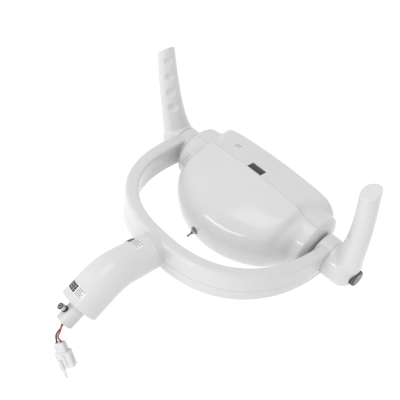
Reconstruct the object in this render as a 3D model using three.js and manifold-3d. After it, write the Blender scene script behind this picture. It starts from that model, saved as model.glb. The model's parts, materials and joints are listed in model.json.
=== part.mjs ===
// Dental operating light: a lamp head that tilts in a C-shaped yoke, with a grip on each side.
// A bent hollow elbow carries the yoke and ends in a spigot that swivels in the chair's light arm.
//
// Millimetres, +Z up. The light stands turned over, with its two grips upwards.
// The origin is on the spigot's axis, in the end face of the elbow.

import * as THREE from 'three';
import { mergeVertices } from 'three/addons/utils/BufferGeometryUtils.js';
import Module from 'manifold-3d';

const wasm = await Module();
wasm.setup();

// ---------------------------------------------------------------- driving dimensions

const GAP = 0.3; // clearance between neighbouring pieces

// spigot and elbow
const SPIGOT_RADIUS = 11;
const SPIGOT_LENGTH = 25.5;
const SPIGOT_BORE = 8.4;
const ELBOW_RADIUS_YOKE = 22.8;
const ELBOW_RADIUS_END = 24.4;
const ELBOW_WALL = 2.8;
const ELBOW_BEND = THREE.MathUtils.degToRad(38);
const ELBOW_BEND_RADIUS = 52;
const ELBOW_AXIS_HEIGHT = 0.5;
const SHOULDER_Y = -285; // elbow end, in the yoke's own frame
const SHOULDER_Z = -30;

// yoke, in its own frame: the tilt axis is X, the arm side is -Y
const YOKE_TILT = THREE.MathUtils.degToRad(-17);
const YOKE_HALF_WIDTH = 123.8; // inside
const YOKE_DEPTH = 153.3; // inside
const YOKE_ARM_Y = -10.5; // where the curve starts
const YOKE_POWER = 2.44; // roundness of the curve, 2 is an ellipse
const YOKE_THICKNESS = 17.4;
const YOKE_HEIGHT = 41;
const YOKE_CORNER = 6;
const YOKE_WALL = 2.6;
const YOKE_SEAM_Z = -3.5;
const SCREW_TURNS = [0.62, 1.18, Math.PI - 1.18, Math.PI - 0.62]; // along the curve, in radians
const BOSS_LENGTH = 9; // round socket on the arm side, which the elbow plugs on to
const HUB_RADIUS = 24.3;
const HUB_INNER_X = 120.3;
const HUB_OUTER_X = 139.7;
const AXLE_RADIUS = 6;
const AXLE_BORE = 3.6;

// lamp head, about the tilt axis: the lens side is +Y
const CROWN = 54.3; // height over the axis, at the middle
const CROWN_FALL = 5; // how much lower it is at the shoulders
const BELLY = 50; // depth of the rear shell under the axis
const SHOULDER_X = 78;
const FRONT_Y = 48;
const FRONT_SLOPE = 0.3;
const FRONT_END_X = 104;
const FRONT_END_POWER = 2.5;
const REAR_HALF_WIDTH = 108;
const REAR_DEPTH = 99.5;
const FLANGE_START_X = 88;
const FLANGE_ROUND_X = 110;
const FLANGE_REACH = 4.5;
const HEAD_END_X = 117;
const NECK_RADIUS = 18;
const SHELL_WALL = 2.6;
const SEAM_Y = -1.5; // parting plane of the two head shells

// windows in the top of the front shell
const WINDOW_Y = 5;
const INDICATOR_X = -49.5;
const INDICATOR_Y = 20.5;

// lens
const LENS_HALF_WIDTH = 84;
const LENS_HALF_HEIGHT = 23.5;
const BEZEL_BAND = 5;

// grips
const GRIP_X = 163;
const GRIP_TOP = 158;
const GRIP_TIP_RADIUS = 11.3;
const GRIP_FLARE = 5.4; // the grip is fuller towards the head and the lens side, near its foot
const LEFT_HUB_END_X = 170.5;
const RIGHT_HUB_END_X = 175.5;
const HUB_END_TURN = 1.2; // how far the hub's rounded end curls in, in radians
const SCALLOP_PITCH = 27;
const SCALLOP_COUNT = 4;
const SCALLOP_DEPTH = 2.3;

// dimmer knob on the right grip
const KNOB_RADIUS = 10.8;
const KNOB_LENGTH = 6.4;
const KNOB_LEAN = THREE.MathUtils.degToRad(-4);

// toggle switch on the back of the head
const TOGGLE_X = -10;
const TOGGLE_Z = 6;
const TOGGLE_WALL_Y = -98.6;

// wires and connector
const WIRE_RADIUS = 1;
const WIRE_SPREAD = 1.2; // from the pair's middle to each wire's middle
const WIRE_TWIST = 0.35; // turns from end to end
const CONNECTOR_TOP = [0.2, -38.3, -38.6]; // from the origin to the middle of the wire side
const CONNECTOR_DOWN = [0.58, -0.19, -0.79];
const CONNECTOR_WIDE = [0.68, 0.75, 0.35];
const COLLAR_WIDTH = 12.5;
const COLLAR_THICKNESS = 7.6;
const COLLAR_LENGTH = 12;
const BODY_WIDTH = 17.5;
const BODY_THICKNESS = 9.5;
const BODY_LENGTH = 21;
const TERMINAL_SPACING = 6.6;
const TONGUE_REACH = 12;
const TONGUE_X = -5.6; // the tongue stands to one side
const TONGUE_WIDTH = 4.6;

// ---------------------------------------------------------------- materials

function material(color, roughness, metalness = 0) {
  return new THREE.MeshStandardMaterial({ color, roughness, metalness });
}

const WHITE_ABS = material(0xe9ebec, 0.22);
const GREY_ABS = material(0x6f7173, 0.45);
const CLEAR = material(0xdfe6ea, 0.06);
const DARK_WINDOW = material(0x24262a, 0.15);
const ALUMINIUM = material(0xb9bcc0, 0.35, 1);
const STEEL = material(0xa8abae, 0.25, 1);
const BRASS = material(0xb8923f, 0.35, 1);
const ACETAL = material(0xd9dad6, 0.5);
const BOARD = material(0x1f5a3a, 0.6);
const WHITE_BOARD = material(0xe8e9e6, 0.5);
const NYLON = material(0xd6dade, 0.4);
const RUBBER = material(0x2b2b2d, 0.7);
const RED_WIRE = material(0xb3262a, 0.45);
const BLACK_WIRE = material(0x1b1b1d, 0.45);

// ---------------------------------------------------------------- solids

function solidOf(geometry) {
  const bare = geometry.clone();
  bare.deleteAttribute('normal');
  bare.deleteAttribute('uv');
  const merged = mergeVertices(bare, 1e-4);
  const vertProperties = Float32Array.from(merged.attributes.position.array);
  const triVerts = Uint32Array.from(merged.index.array);
  return new wasm.Manifold(new wasm.Mesh({ numProp: 3, vertProperties, triVerts }));
}

function geometryOf(solid) {
  const mesh = solid.getMesh();
  const geometry = new THREE.BufferGeometry();
  geometry.setAttribute('position', new THREE.BufferAttribute(Float32Array.from(mesh.vertProperties), 3));
  geometry.setIndex(Array.from(mesh.triVerts));
  geometry.computeVertexNormals();
  return geometry;
}

function joined(first, ...others) {
  return others.reduce((sum, other) => sum.add(other), first);
}

function cut(first, ...others) {
  return others.reduce((rest, other) => rest.subtract(other), first);
}

function signedVolume(points, faces) {
  const [a, b, c] = [new THREE.Vector3(), new THREE.Vector3(), new THREE.Vector3()];
  let volume = 0;
  for (const [i, j, k] of faces) {
    a.copy(points[i]);
    b.copy(points[j]);
    c.copy(points[k]);
    volume += a.dot(b.cross(c)) / 6;
  }
  return volume;
}

// A skin over rings with equal numbers of points, closed by a fan at each end.
function loft(rings) {
  const count = rings[0].length;
  const points = rings.flat();
  const faces = [];
  for (let i = 0; i + 1 < rings.length; i += 1) {
    for (let j = 0; j < count; j += 1) {
      const a = i * count + j;
      const b = i * count + ((j + 1) % count);
      faces.push([a, b, b + count], [a, b + count, a + count]);
    }
  }
  const capEnd = (start, flip) => {
    const centre = new THREE.Vector3();
    for (let j = 0; j < count; j += 1) centre.addScaledVector(points[start + j], 1 / count);
    const hub = points.push(centre) - 1;
    for (let j = 0; j < count; j += 1) {
      const [a, b] = [start + j, start + ((j + 1) % count)];
      faces.push(flip ? [b, a, hub] : [a, b, hub]);
    }
  };
  capEnd(0, true);
  capEnd((rings.length - 1) * count, false);
  if (signedVolume(points, faces) < 0) faces.forEach((face) => face.reverse());
  const geometry = new THREE.BufferGeometry();
  const numbers = points.flatMap((point) => point.toArray());
  geometry.setAttribute('position', new THREE.Float32BufferAttribute(numbers, 3));
  geometry.setIndex(faces.flat());
  geometry.computeVertexNormals();
  return geometry;
}

// Turns a mirrored geometry's faces round, so that they point out again.
function outwards(geometry) {
  const index = geometry.index.array;
  const position = geometry.attributes.position;
  const point = (i) => new THREE.Vector3().fromBufferAttribute(position, i);
  let volume = 0;
  for (let i = 0; i < index.length; i += 3) {
    volume += point(index[i]).dot(point(index[i + 1]).cross(point(index[i + 2])));
  }
  for (let i = 0; volume < 0 && i < index.length; i += 3) {
    [index[i], index[i + 1]] = [index[i + 1], index[i]];
  }
  return geometry;
}

function box(x0, x1, y0, y1, z0, z1) {
  const geometry = new THREE.BoxGeometry(x1 - x0, y1 - y0, z1 - z0);
  return geometry.translate((x0 + x1) / 2, (y0 + y1) / 2, (z0 + z1) / 2);
}

// A cylinder or cone along X, Y or Z, from one place on that axis to another.
function rod(axis, radius, from, to, sides = 24, endRadius = radius) {
  const geometry = new THREE.CylinderGeometry(endRadius, radius, to - from, sides);
  geometry.translate(0, (from + to) / 2, 0);
  if (axis === 'x') geometry.rotateZ(-Math.PI / 2);
  if (axis === 'z') geometry.rotateX(Math.PI / 2);
  return geometry;
}

// A turned ring along X, Y or Z.
function ring(axis, inner, outer, from, to, sides = 24) {
  const profile = [
    new THREE.Vector2(inner, from),
    new THREE.Vector2(outer, from),
    new THREE.Vector2(outer, to),
    new THREE.Vector2(inner, to),
    new THREE.Vector2(inner, from),
  ];
  const geometry = new THREE.LatheGeometry(profile, sides);
  if (axis === 'x') geometry.rotateZ(-Math.PI / 2);
  if (axis === 'z') geometry.rotateX(Math.PI / 2);
  return geometry;
}

// A hexagonal nut with a round hole.
function nut(axis, inner, outer, from, to) {
  const hole = rod(axis, inner / Math.cos(Math.PI / 16), from - 1, to + 1, 16);
  return geometryOf(cut(solidOf(rod(axis, outer, from, to, 6)), solidOf(hole)));
}

// A flat stadium outline in X and Z, drawn out along Y.
function stadium(halfWidth, halfHeight, fromY, toY, endSteps = 8, hole = null) {
  const outline = (w, h) => {
    const shape = new THREE.Shape();
    shape.moveTo(-(w - h), -h);
    shape.lineTo(w - h, -h);
    shape.absarc(w - h, 0, h, -Math.PI / 2, Math.PI / 2, false);
    shape.lineTo(-(w - h), h);
    shape.absarc(-(w - h), 0, h, Math.PI / 2, Math.PI * 1.5, false);
    return shape;
  };
  const shape = outline(halfWidth, halfHeight);
  if (hole) shape.holes.push(outline(hole.halfWidth, hole.halfHeight));
  const geometry = new THREE.ExtrudeGeometry(shape, {
    depth: toY - fromY,
    bevelEnabled: false,
    curveSegments: endSteps,
  });
  geometry.rotateX(Math.PI / 2);
  return geometry.translate(0, toY, 0);
}

function smoothMax(a, b, softness) {
  return 0.5 * (a + b + Math.sqrt((a - b) ** 2 + softness ** 2));
}

function smoothMin(a, b, softness) {
  return -smoothMax(-a, -b, softness);
}

function mix(a, b, t) {
  return a + (b - a) * t;
}

// ---------------------------------------------------------------- object and groups

const light = new THREE.Group();
const alongX = new THREE.Vector3(1, 0, 0);
const shoulder = new THREE.Vector3(0, SHOULDER_Y, SHOULDER_Z).applyAxisAngle(alongX, YOKE_TILT);

const headGroup = new THREE.Group();
headGroup.position.copy(shoulder).negate();

const yokeGroup = new THREE.Group();
yokeGroup.position.copy(headGroup.position);
yokeGroup.rotation.x = YOKE_TILT;

// The spigot's own frame: its axis is -Y, pointing out of the elbow.
const spigotGroup = new THREE.Group();
spigotGroup.rotation.x = YOKE_TILT + ELBOW_BEND;
light.add(headGroup, yokeGroup, spigotGroup);

function add(group, name, geometry, finish) {
  const mesh = new THREE.Mesh(geometry, finish);
  mesh.name = name;
  group.add(mesh);
  return mesh;
}

// ---------------------------------------------------------------- lamp head shells

function crown(x) {
  const away = Math.abs(x);
  if (away <= SHOULDER_X) return CROWN - CROWN_FALL * (away / SHOULDER_X) ** 2;
  const fall = THREE.MathUtils.smoothstep(away, SHOULDER_X, FLANGE_START_X);
  return mix(CROWN - CROWN_FALL, flangeRadius(x), fall);
}

// The round shoulder that leads into the neck at each end of the head.
function flangeRadius(x) {
  const away = Math.abs(x);
  const straight = 40.8 - 0.12 * (away - FLANGE_START_X);
  if (away <= FLANGE_ROUND_X) return straight;
  const turn = Math.min(1, (away - FLANGE_ROUND_X) / (HEAD_END_X - FLANGE_ROUND_X));
  return NECK_RADIUS + (straight - NECK_RADIUS) * Math.sqrt(1 - turn ** 2);
}

// How much further the round shoulder reaches towards the lens side.
function flangeReach(x) {
  return FLANGE_REACH * (1 - THREE.MathUtils.smoothstep(Math.abs(x), FLANGE_ROUND_X, HEAD_END_X));
}

function rearRadius(x, across, up, below) {
  const away = Math.abs(x);
  const reach = REAR_DEPTH * Math.sqrt(Math.max(0, 1 - (away / REAR_HALF_WIDTH) ** 2));
  const round = THREE.MathUtils.smoothstep(away, 70, FLANGE_START_X + 12);
  const depth = smoothMax(reach, away > FLANGE_START_X ? flangeRadius(x) : 30, 4);
  const power = mix(below ? 2.3 : 3.1, 2, round);
  const height = below ? mix(BELLY, flangeRadius(x), round) : crown(x);
  return 1 / ((Math.abs(across) / depth) ** power + (up / height) ** power) ** (1 / power);
}

// Height of the front half over the axis, rounded off towards its ends.
function frontHeight(x, y) {
  const away = Math.abs(x);
  const start = SHOULDER_X - 6;
  const top = CROWN - CROWN_FALL * Math.min(1, away / SHOULDER_X) ** 2 - FRONT_SLOPE * y;
  if (away <= start) return top;
  const end = mix(SHOULDER_X + 5, FRONT_END_X, Math.min(1, y / FRONT_Y));
  const rest = Math.max(0, 1 - ((away - start) / (end - start)) ** FRONT_END_POWER);
  return top * rest ** (1 / FRONT_END_POWER);
}

function frontRadius(x, across, up) {
  const wall = FRONT_Y / Math.max(across, 1e-6);
  let [low, high] = [0, 90];
  const inside = (radius) => up * radius <= frontHeight(x, across * radius);
  let radius = high;
  while (radius > 0 && !inside(radius)) radius -= 3;
  [low, high] = [Math.max(0, radius), radius + 3];
  for (let step = 0; step < 20; step += 1) {
    const middle = (low + high) / 2;
    if (inside(middle)) low = middle;
    else high = middle;
  }
  return smoothMin(low, wall, 2);
}

// Distance from the tilt axis to the head's skin; the angle turns from +Z towards the lens.
function headRadius(x, angle) {
  const across = Math.sin(angle);
  const up = Math.abs(Math.cos(angle));
  if (across < 0) return rearRadius(x, across, up, Math.cos(angle) < 0);
  const collar = Math.hypot(flangeRadius(x) * up, (flangeRadius(x) + flangeReach(x)) * across);
  if (Math.abs(x) > FRONT_END_X - 0.5) return collar;
  const front = frontRadius(x, across, up);
  if (Math.abs(x) < SHOULDER_X) return front;
  return smoothMax(front, collar, 1.5) - 0.4;
}

function headSkin(stations, steps, inset) {
  const rings = stations.map((x) => {
    const points = [];
    for (let k = 0; k < steps; k += 1) {
      const angle = (2 * Math.PI * (k + 0.5)) / steps;
      const radius = headRadius(x, angle > Math.PI ? angle - 2 * Math.PI : angle) - inset;
      points.push(new THREE.Vector3(x, radius * Math.sin(angle), radius * Math.cos(angle)));
    }
    return points;
  });
  return solidOf(loft(rings));
}

function mirrored(stations) {
  return [...stations.map((x) => -x).reverse(), ...stations.slice(1)];
}

const outerStations = mirrored([
  0, 26, 48, 64, 75, 80, 85, 91, 97, 101, 104, 108, 112, 115, 116.5, HEAD_END_X,
]);
const innerStations = mirrored([0, 36, 60, 74, 80]);
const neckBore = solidOf(rod('x', AXLE_RADIUS + GAP, -130, 130, 16));
const headOutside = headSkin(outerStations, 28, 0);
const headInside = headSkin(innerStations, 16, SHELL_WALL);
const headSkinSolid = cut(headOutside, headInside, neckBore);

const bezelHalfWidth = LENS_HALF_WIDTH + BEZEL_BAND;
const bezelHalfHeight = LENS_HALF_HEIGHT + BEZEL_BAND;
const lensOpening = solidOf(stadium(bezelHalfWidth + GAP, bezelHalfHeight + GAP, 38, 60));

// Places a piece flush with the sloping top of the front shell, x along and y across it.
function onFront(geometry, x, y) {
  geometry.rotateX(-Math.atan(FRONT_SLOPE));
  return geometry.translate(x, y, frontHeight(x, y));
}

const windowOpening = solidOf(onFront(box(-11.8, 11.8, -6, 6, -8, 6), 0, WINDOW_Y));
const indicatorOpening = solidOf(onFront(box(-3.6, 3.6, -3.6, 3.6, -8, 6), INDICATOR_X, INDICATOR_Y));
const frontHalf = solidOf(box(-130, 130, SEAM_Y + GAP / 2, 80, -80, 80));
const rearHalf = solidOf(box(-130, 130, -130, SEAM_Y - GAP / 2, -80, 80));
const toggleHole = solidOf(rod('y', 3.3, -110, -80, 16).translate(TOGGLE_X, 0, TOGGLE_Z));

const frontShell = cut(headSkinSolid.intersect(frontHalf), lensOpening, windowOpening, indicatorOpening);
const rearShell = cut(headSkinSolid.intersect(rearHalf), toggleHole);
add(headGroup, 'front_shell', geometryOf(frontShell), WHITE_ABS);
add(headGroup, 'rear_shell', geometryOf(rearShell), WHITE_ABS);

// ---------------------------------------------------------------- windows in the head

add(headGroup, 'sensor_window', onFront(box(-11.5, 11.5, -5.7, 5.7, -2.4, -0.3), 0, WINDOW_Y), DARK_WINDOW);
add(headGroup, 'sensor_board', onFront(box(-15, 15, -5, 9, -7.4, -5.8), 0, WINDOW_Y), BOARD);
add(
  headGroup,
  'indicator_window',
  onFront(box(-3.3, 3.3, -3.3, 3.3, -2.4, -0.3), INDICATOR_X, INDICATOR_Y),
  GREY_ABS,
);

// ---------------------------------------------------------------- lens and lamp unit

add(
  headGroup,
  'lens_bezel',
  stadium(bezelHalfWidth, bezelHalfHeight, 42.6, 47.6, 8, {
    halfWidth: LENS_HALF_WIDTH,
    halfHeight: LENS_HALF_HEIGHT,
  }),
  GREY_ABS,
);
add(headGroup, 'lens', stadium(LENS_HALF_WIDTH - GAP, LENS_HALF_HEIGHT - GAP, 43.2, 46.2), CLEAR);

const LAMP_COLUMNS = [-52, 0, 52];
const LAMP_ROWS = [-11, 11];
const finSolids = [];
for (let fin = -5; fin <= 5; fin += 1) {
  finSolids.push(solidOf(box(fin * 12 - 1, fin * 12 + 1, -4, 9, -20, 20)));
}
const heatSinkPlate = solidOf(box(-66, 66, 8, 12, -21, 21));
add(headGroup, 'heat_sink', geometryOf(joined(heatSinkPlate, ...finSolids)), ALUMINIUM);
add(headGroup, 'led_board', box(-66, 66, 12.3, 13.9, -21, 21), WHITE_BOARD);

let lampNumber = 0;
for (const z of LAMP_ROWS) {
  for (const x of LAMP_COLUMNS) {
    lampNumber += 1;
    const cup = rod('y', 4, 14.2, 36, 16, 10.4).translate(x, 0, z);
    add(headGroup, `led_collimator_${lampNumber}`, cup, CLEAR);
  }
}
add(headGroup, 'driver_board', box(-46, 46, -24, -22.4, -26, 26), BOARD);

// ---------------------------------------------------------------- tilt axles and their hardware

for (const [side, name] of [[-1, 'left'], [1, 'right']]) {
  const span = (inner, outer) => (side > 0 ? [inner, outer] : [-outer, -inner]);
  const washer = ring('x', AXLE_RADIUS + GAP, 14, ...span(117.3, 120), 20);
  add(headGroup, `tilt_axle_${name}`, ring('x', AXLE_BORE, AXLE_RADIUS, ...span(70, 166), 20), STEEL);
  add(headGroup, `axle_nut_${name}`, nut('x', AXLE_RADIUS + GAP, 11, ...span(72, 79.6)), STEEL);
  add(headGroup, `friction_washer_${name}`, washer, ACETAL);
  add(yokeGroup, `hub_bush_${name}`, ring('x', AXLE_RADIUS + GAP, 10.7, ...span(120.3, 139.7), 20), ACETAL);
}

// ---------------------------------------------------------------- grips

// One grip section: centre and radius at a height, with x pointing inwards from the grip's own line.
function gripSection(z) {
  const rise = THREE.MathUtils.clamp(z / GRIP_TOP, 0, 1);
  const foot = Math.exp(-Math.max(0, z) / 30);
  return {
    inward: 5.5 * foot - 3.5 * Math.sin(Math.PI * rise),
    y: 2.5 * foot,
    radius: GRIP_TIP_RADIUS + 1.6 * (1 - rise) + 8.5 * foot,
    flare: GRIP_FLARE * (1 - rise ** 2),
  };
}

const FLARE_TURN = THREE.MathUtils.degToRad(47); // from inwards towards the lens side
const SCALLOP_TURN = THREE.MathUtils.degToRad(-28);

function gripSolid(side, roundFrom, endX, scallopTurn) {
  const heights = [-14, -6, 4, 14, 26, 40, 56, 76, 100, 125, 142, GRIP_TOP + 14];
  const rings = heights.map((z) => {
    const { inward, y, radius, flare } = gripSection(z);
    const shrink = z < 0 ? Math.sqrt(1 - (z / 20) ** 2) : 1;
    const points = [];
    for (let k = 0; k < 20; k += 1) {
      const angle = (2 * Math.PI * k) / 20;
      const size = shrink * (radius + flare * Math.max(0, Math.cos(angle - FLARE_TURN)) ** 2);
      const x = GRIP_X - inward - size * Math.cos(angle);
      points.push(new THREE.Vector3(side * x, y + size * Math.sin(angle), z));
    }
    return points;
  });
  const hubStart = HUB_OUTER_X + GAP;
  const hubProfile = [new THREE.Vector2(0, hubStart), new THREE.Vector2(HUB_RADIUS, hubStart)];
  for (let step = 0; step <= 6; step += 1) {
    const turn = (step / 6) * HUB_END_TURN;
    const outward = Math.sin(turn) / Math.sin(HUB_END_TURN);
    hubProfile.push(
      new THREE.Vector2(HUB_RADIUS - 14 * (1 - Math.cos(turn)), mix(roundFrom, endX, outward)),
    );
  }
  hubProfile.push(new THREE.Vector2(0, endX));
  const hub = new THREE.LatheGeometry(hubProfile, 24);
  hub.rotateZ((-side * Math.PI) / 2);
  const axleSocket = side > 0 ? [139, 166.5] : [-166.5, -139];
  const hubSide = side > 0 ? [100, HUB_OUTER_X + GAP] : [-HUB_OUTER_X - GAP, -100];
  let grip = joined(solidOf(loft(rings)), solidOf(hub));
  grip = cut(grip, solidOf(rod('x', AXLE_RADIUS + GAP, ...axleSocket, 16)));
  grip = cut(grip, solidOf(box(...hubSide, -40, 40, -40, 80)));
  for (let k = 0; k < SCALLOP_COUNT; k += 1) {
    const z = GRIP_TOP - 12 - k * SCALLOP_PITCH;
    const { inward, y, radius } = gripSection(z);
    const scoop = new THREE.SphereGeometry(1, 12, 8).scale(7, 14, 9);
    scoop.translate(-(radius + 7 - SCALLOP_DEPTH), 0, 0);
    scoop.rotateZ(-scallopTurn);
    if (side < 0) scoop.rotateZ(Math.PI).scale(1, -1, 1);
    scoop.translate(side * (GRIP_X - inward), y, z);
    grip = cut(grip, solidOf(outwards(scoop)));
  }
  return grip;
}

// The tip is cut off at a slant.
function tipCutter(side, slope) {
  const cutter = box(-40, 40, -40, 40, 0, 40);
  const normal = new THREE.Vector3(...slope).normalize();
  cutter.applyQuaternion(new THREE.Quaternion().setFromUnitVectors(new THREE.Vector3(0, 0, 1), normal));
  return solidOf(cutter.translate(side * GRIP_X, 0, GRIP_TOP));
}

// The knob's axis leans up a little from the tilt axis.
const knobBase = new THREE.Vector3(175, 0, -3.2);
function atKnob(geometry) {
  geometry.rotateY(KNOB_LEAN);
  return geometry.translate(knobBase.x, knobBase.y, knobBase.z);
}

const potRecess = solidOf(atKnob(rod('x', KNOB_RADIUS + 1.2, -0.6, 20, 24)));
const potCavity = solidOf(atKnob(rod('x', 6.6, -7.4, 1, 20)));
const gripLeft = cut(gripSolid(-1, 149, LEFT_HUB_END_X, SCALLOP_TURN), tipCutter(-1, [-0.95, 0.3, 1]));
const gripRight = cut(
  gripSolid(1, 160, RIGHT_HUB_END_X, -SCALLOP_TURN),
  tipCutter(1, [-0.42, -0.33, 1]),
  potRecess,
  potCavity,
);
add(headGroup, 'grip_left', geometryOf(gripLeft), WHITE_ABS);
add(headGroup, 'grip_right', geometryOf(gripRight), WHITE_ABS);

// ---------------------------------------------------------------- dimmer

add(headGroup, 'dimmer_potentiometer', atKnob(ring('x', 3.3, 6.3, -7, -1, 20)), STEEL);
add(headGroup, 'intensity_knob', atKnob(rod('x', KNOB_RADIUS, -0.3, KNOB_LENGTH - 0.3, 28)), GREY_ABS);
add(headGroup, 'knob_shaft', atKnob(rod('x', 3, -6.8, -0.6, 14)), STEEL);

// ---------------------------------------------------------------- toggle switch

function atToggle(geometry) {
  return geometry.translate(TOGGLE_X, TOGGLE_WALL_Y, TOGGLE_Z);
}

add(headGroup, 'toggle_bushing', atToggle(ring('y', 1.9, 3, -6, 9, 14)), STEEL);
add(headGroup, 'toggle_nut', atToggle(nut('y', 3.3, 4.8, -2.8, -0.6)), STEEL);
add(headGroup, 'toggle_body', atToggle(box(-4, 4, 9.3, 19, -6.5, 6.5)), GREY_ABS);
add(headGroup, 'toggle_lever', atToggle(rod('y', 1.6, -14, -6.3, 12, 1.1)), STEEL);

// ---------------------------------------------------------------- yoke

function yokeCentre(turn) {
  const cosine = Math.cos(turn);
  const along = Math.sign(cosine) * Math.abs(cosine) ** (2 / YOKE_POWER);
  const back = Math.max(0, Math.sin(turn)) ** (2 / YOKE_POWER);
  const x = (YOKE_HALF_WIDTH + YOKE_THICKNESS / 2) * along;
  const y = YOKE_ARM_Y - (YOKE_DEPTH + YOKE_THICKNESS / 2) * back;
  return new THREE.Vector3(x, y, 0);
}

function roundedSection(width, height, corner, cornerSteps) {
  const section = [];
  const [w, h] = [width / 2 - corner, height / 2 - corner];
  for (const [sx, sz, start] of [[1, 1, 0], [-1, 1, 90], [-1, -1, 180], [1, -1, 270]]) {
    for (let k = 0; k <= cornerSteps; k += 1) {
      const angle = THREE.MathUtils.degToRad(start + (90 * k) / cornerSteps);
      section.push([sx * w + corner * Math.cos(angle), sz * h + corner * Math.sin(angle)]);
    }
  }
  return section;
}

function yokeSweep(section, steps, startTurn, straight) {
  const centres = [];
  for (let k = 0; k <= steps; k += 1) {
    centres.push(yokeCentre(mix(startTurn, Math.PI - startTurn, k / steps)));
  }
  if (straight) {
    centres.unshift(new THREE.Vector3(centres[0].x, 6, 0));
    centres.push(new THREE.Vector3(centres[centres.length - 1].x, 6, 0));
  }
  const rings = centres.map((centre, k) => {
    const before = centres[Math.max(0, k - 1)];
    const after = centres[Math.min(centres.length - 1, k + 1)];
    const along = after.clone().sub(before).normalize();
    const side = new THREE.Vector3(along.y, -along.x, 0).negate();
    return section.map(([w, z]) => centre.clone().addScaledVector(side, w).add(new THREE.Vector3(0, 0, z)));
  });
  return solidOf(loft(rings));
}

const yokeOuter = yokeSweep(roundedSection(YOKE_THICKNESS, YOKE_HEIGHT, YOKE_CORNER, 2), 26, 0, true);
const yokeInner = yokeSweep(
  roundedSection(YOKE_THICKNESS - 2 * YOKE_WALL, YOKE_HEIGHT - 2 * YOKE_WALL, YOKE_CORNER - YOKE_WALL, 1),
  16,
  0.16,
  false,
);
const hubs = [-1, 1].map((side) => {
  const [from, to] = side > 0 ? [HUB_INNER_X, HUB_OUTER_X] : [-HUB_OUTER_X, -HUB_INNER_X];
  return solidOf(rod('x', HUB_RADIUS, from, to, 32));
});
const hubTrims = [-1, 1].map((side) => {
  const [from, to] = side > 0 ? [HUB_OUTER_X, 150] : [-150, -HUB_OUTER_X];
  return solidOf(box(from, to, -80, 30, -30, 30));
});
const hubBores = solidOf(rod('x', 11, -150, 150, 24));
const yokeBackY = YOKE_ARM_Y - YOKE_DEPTH - YOKE_THICKNESS;
const holeRod = rod('y', 9, yokeBackY - 30, yokeBackY + 8, 20);
const elbowHole = solidOf(holeRod.translate(0, 0, ELBOW_AXIS_HEIGHT));
const bossSpan = [yokeBackY - BOSS_LENGTH, yokeBackY + 5];
const bossRod = rod('y', ELBOW_RADIUS_YOKE, ...bossSpan, 28, YOKE_HEIGHT / 2 - 1);
const elbowBoss = solidOf(bossRod.translate(0, 0, ELBOW_AXIS_HEIGHT));

// Screws from below hold the two halves together, each in a post inside the upper one.
const postPlaces = SCREW_TURNS.map((turn) => yokeCentre(turn));
const postSolids = postPlaces.map(({ x, y }) => {
  return solidOf(rod('z', 4, YOKE_SEAM_Z + 1, YOKE_HEIGHT / 2 - 1, 14).translate(x, y, 0));
});
const screwHoles = postPlaces.map(({ x, y }) => {
  return solidOf(rod('z', 1.4 + GAP, -YOKE_HEIGHT, YOKE_HEIGHT / 2 - 6, 12).translate(x, y, 0));
});
const screwSinks = postPlaces.map(({ x, y }) => {
  return solidOf(rod('z', 3 + GAP, -YOKE_HEIGHT, 1.6 - YOKE_HEIGHT / 2, 14).translate(x, y, 0));
});

const yokeShell = cut(
  joined(cut(joined(yokeOuter, ...hubs, elbowBoss), yokeInner), ...postSolids),
  ...hubTrims,
  hubBores,
  elbowHole,
  ...screwHoles,
  ...screwSinks,
);

function slab(z0, z1) {
  return solidOf(box(-200, 200, -220, 60, z0, z1));
}

const upperHalf = yokeShell.intersect(slab(YOKE_SEAM_Z + GAP / 2, 60));
const lowerHalf = yokeShell.intersect(slab(-60, YOKE_SEAM_Z - GAP / 2));
add(yokeGroup, 'yoke_upper_shell', geometryOf(upperHalf), WHITE_ABS);
add(yokeGroup, 'yoke_lower_shell', geometryOf(lowerHalf), WHITE_ABS);

postPlaces.forEach(({ x, y }, index) => {
  const head = solidOf(rod('z', 3, -YOKE_HEIGHT / 2, 1.4 - YOKE_HEIGHT / 2, 14));
  const shank = solidOf(rod('z', 1.4, 1.2 - YOKE_HEIGHT / 2, YOKE_HEIGHT / 2 - 7, 12));
  add(yokeGroup, `yoke_screw_${index + 1}`, geometryOf(joined(head, shank).translate([x, y, 0])), STEEL);
});

// ---------------------------------------------------------------- elbow

// The elbow's centreline runs back from the yoke, then bends down and ends at the shoulder.
function elbowLine() {
  const bendDrop = ELBOW_BEND_RADIUS * (1 - Math.cos(ELBOW_BEND));
  const bendRun = ELBOW_BEND_RADIUS * Math.sin(ELBOW_BEND);
  const straightDrop = ELBOW_AXIS_HEIGHT - bendDrop - SHOULDER_Z;
  const bendStartY = SHOULDER_Y + straightDrop / Math.tan(ELBOW_BEND) + bendRun;
  const points = [];
  const startY = yokeBackY - BOSS_LENGTH - GAP;
  points.push({ y: startY, z: ELBOW_AXIS_HEIGHT, turn: 0 });
  points.push({ y: (startY + bendStartY) / 2, z: ELBOW_AXIS_HEIGHT, turn: 0 });
  for (let k = 0; k <= 5; k += 1) {
    const turn = (ELBOW_BEND * k) / 5;
    points.push({
      y: bendStartY - ELBOW_BEND_RADIUS * Math.sin(turn),
      z: ELBOW_AXIS_HEIGHT - ELBOW_BEND_RADIUS * (1 - Math.cos(turn)),
      turn,
    });
  }
  points.push({ y: SHOULDER_Y, z: SHOULDER_Z, turn: ELBOW_BEND });
  return points;
}

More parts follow.
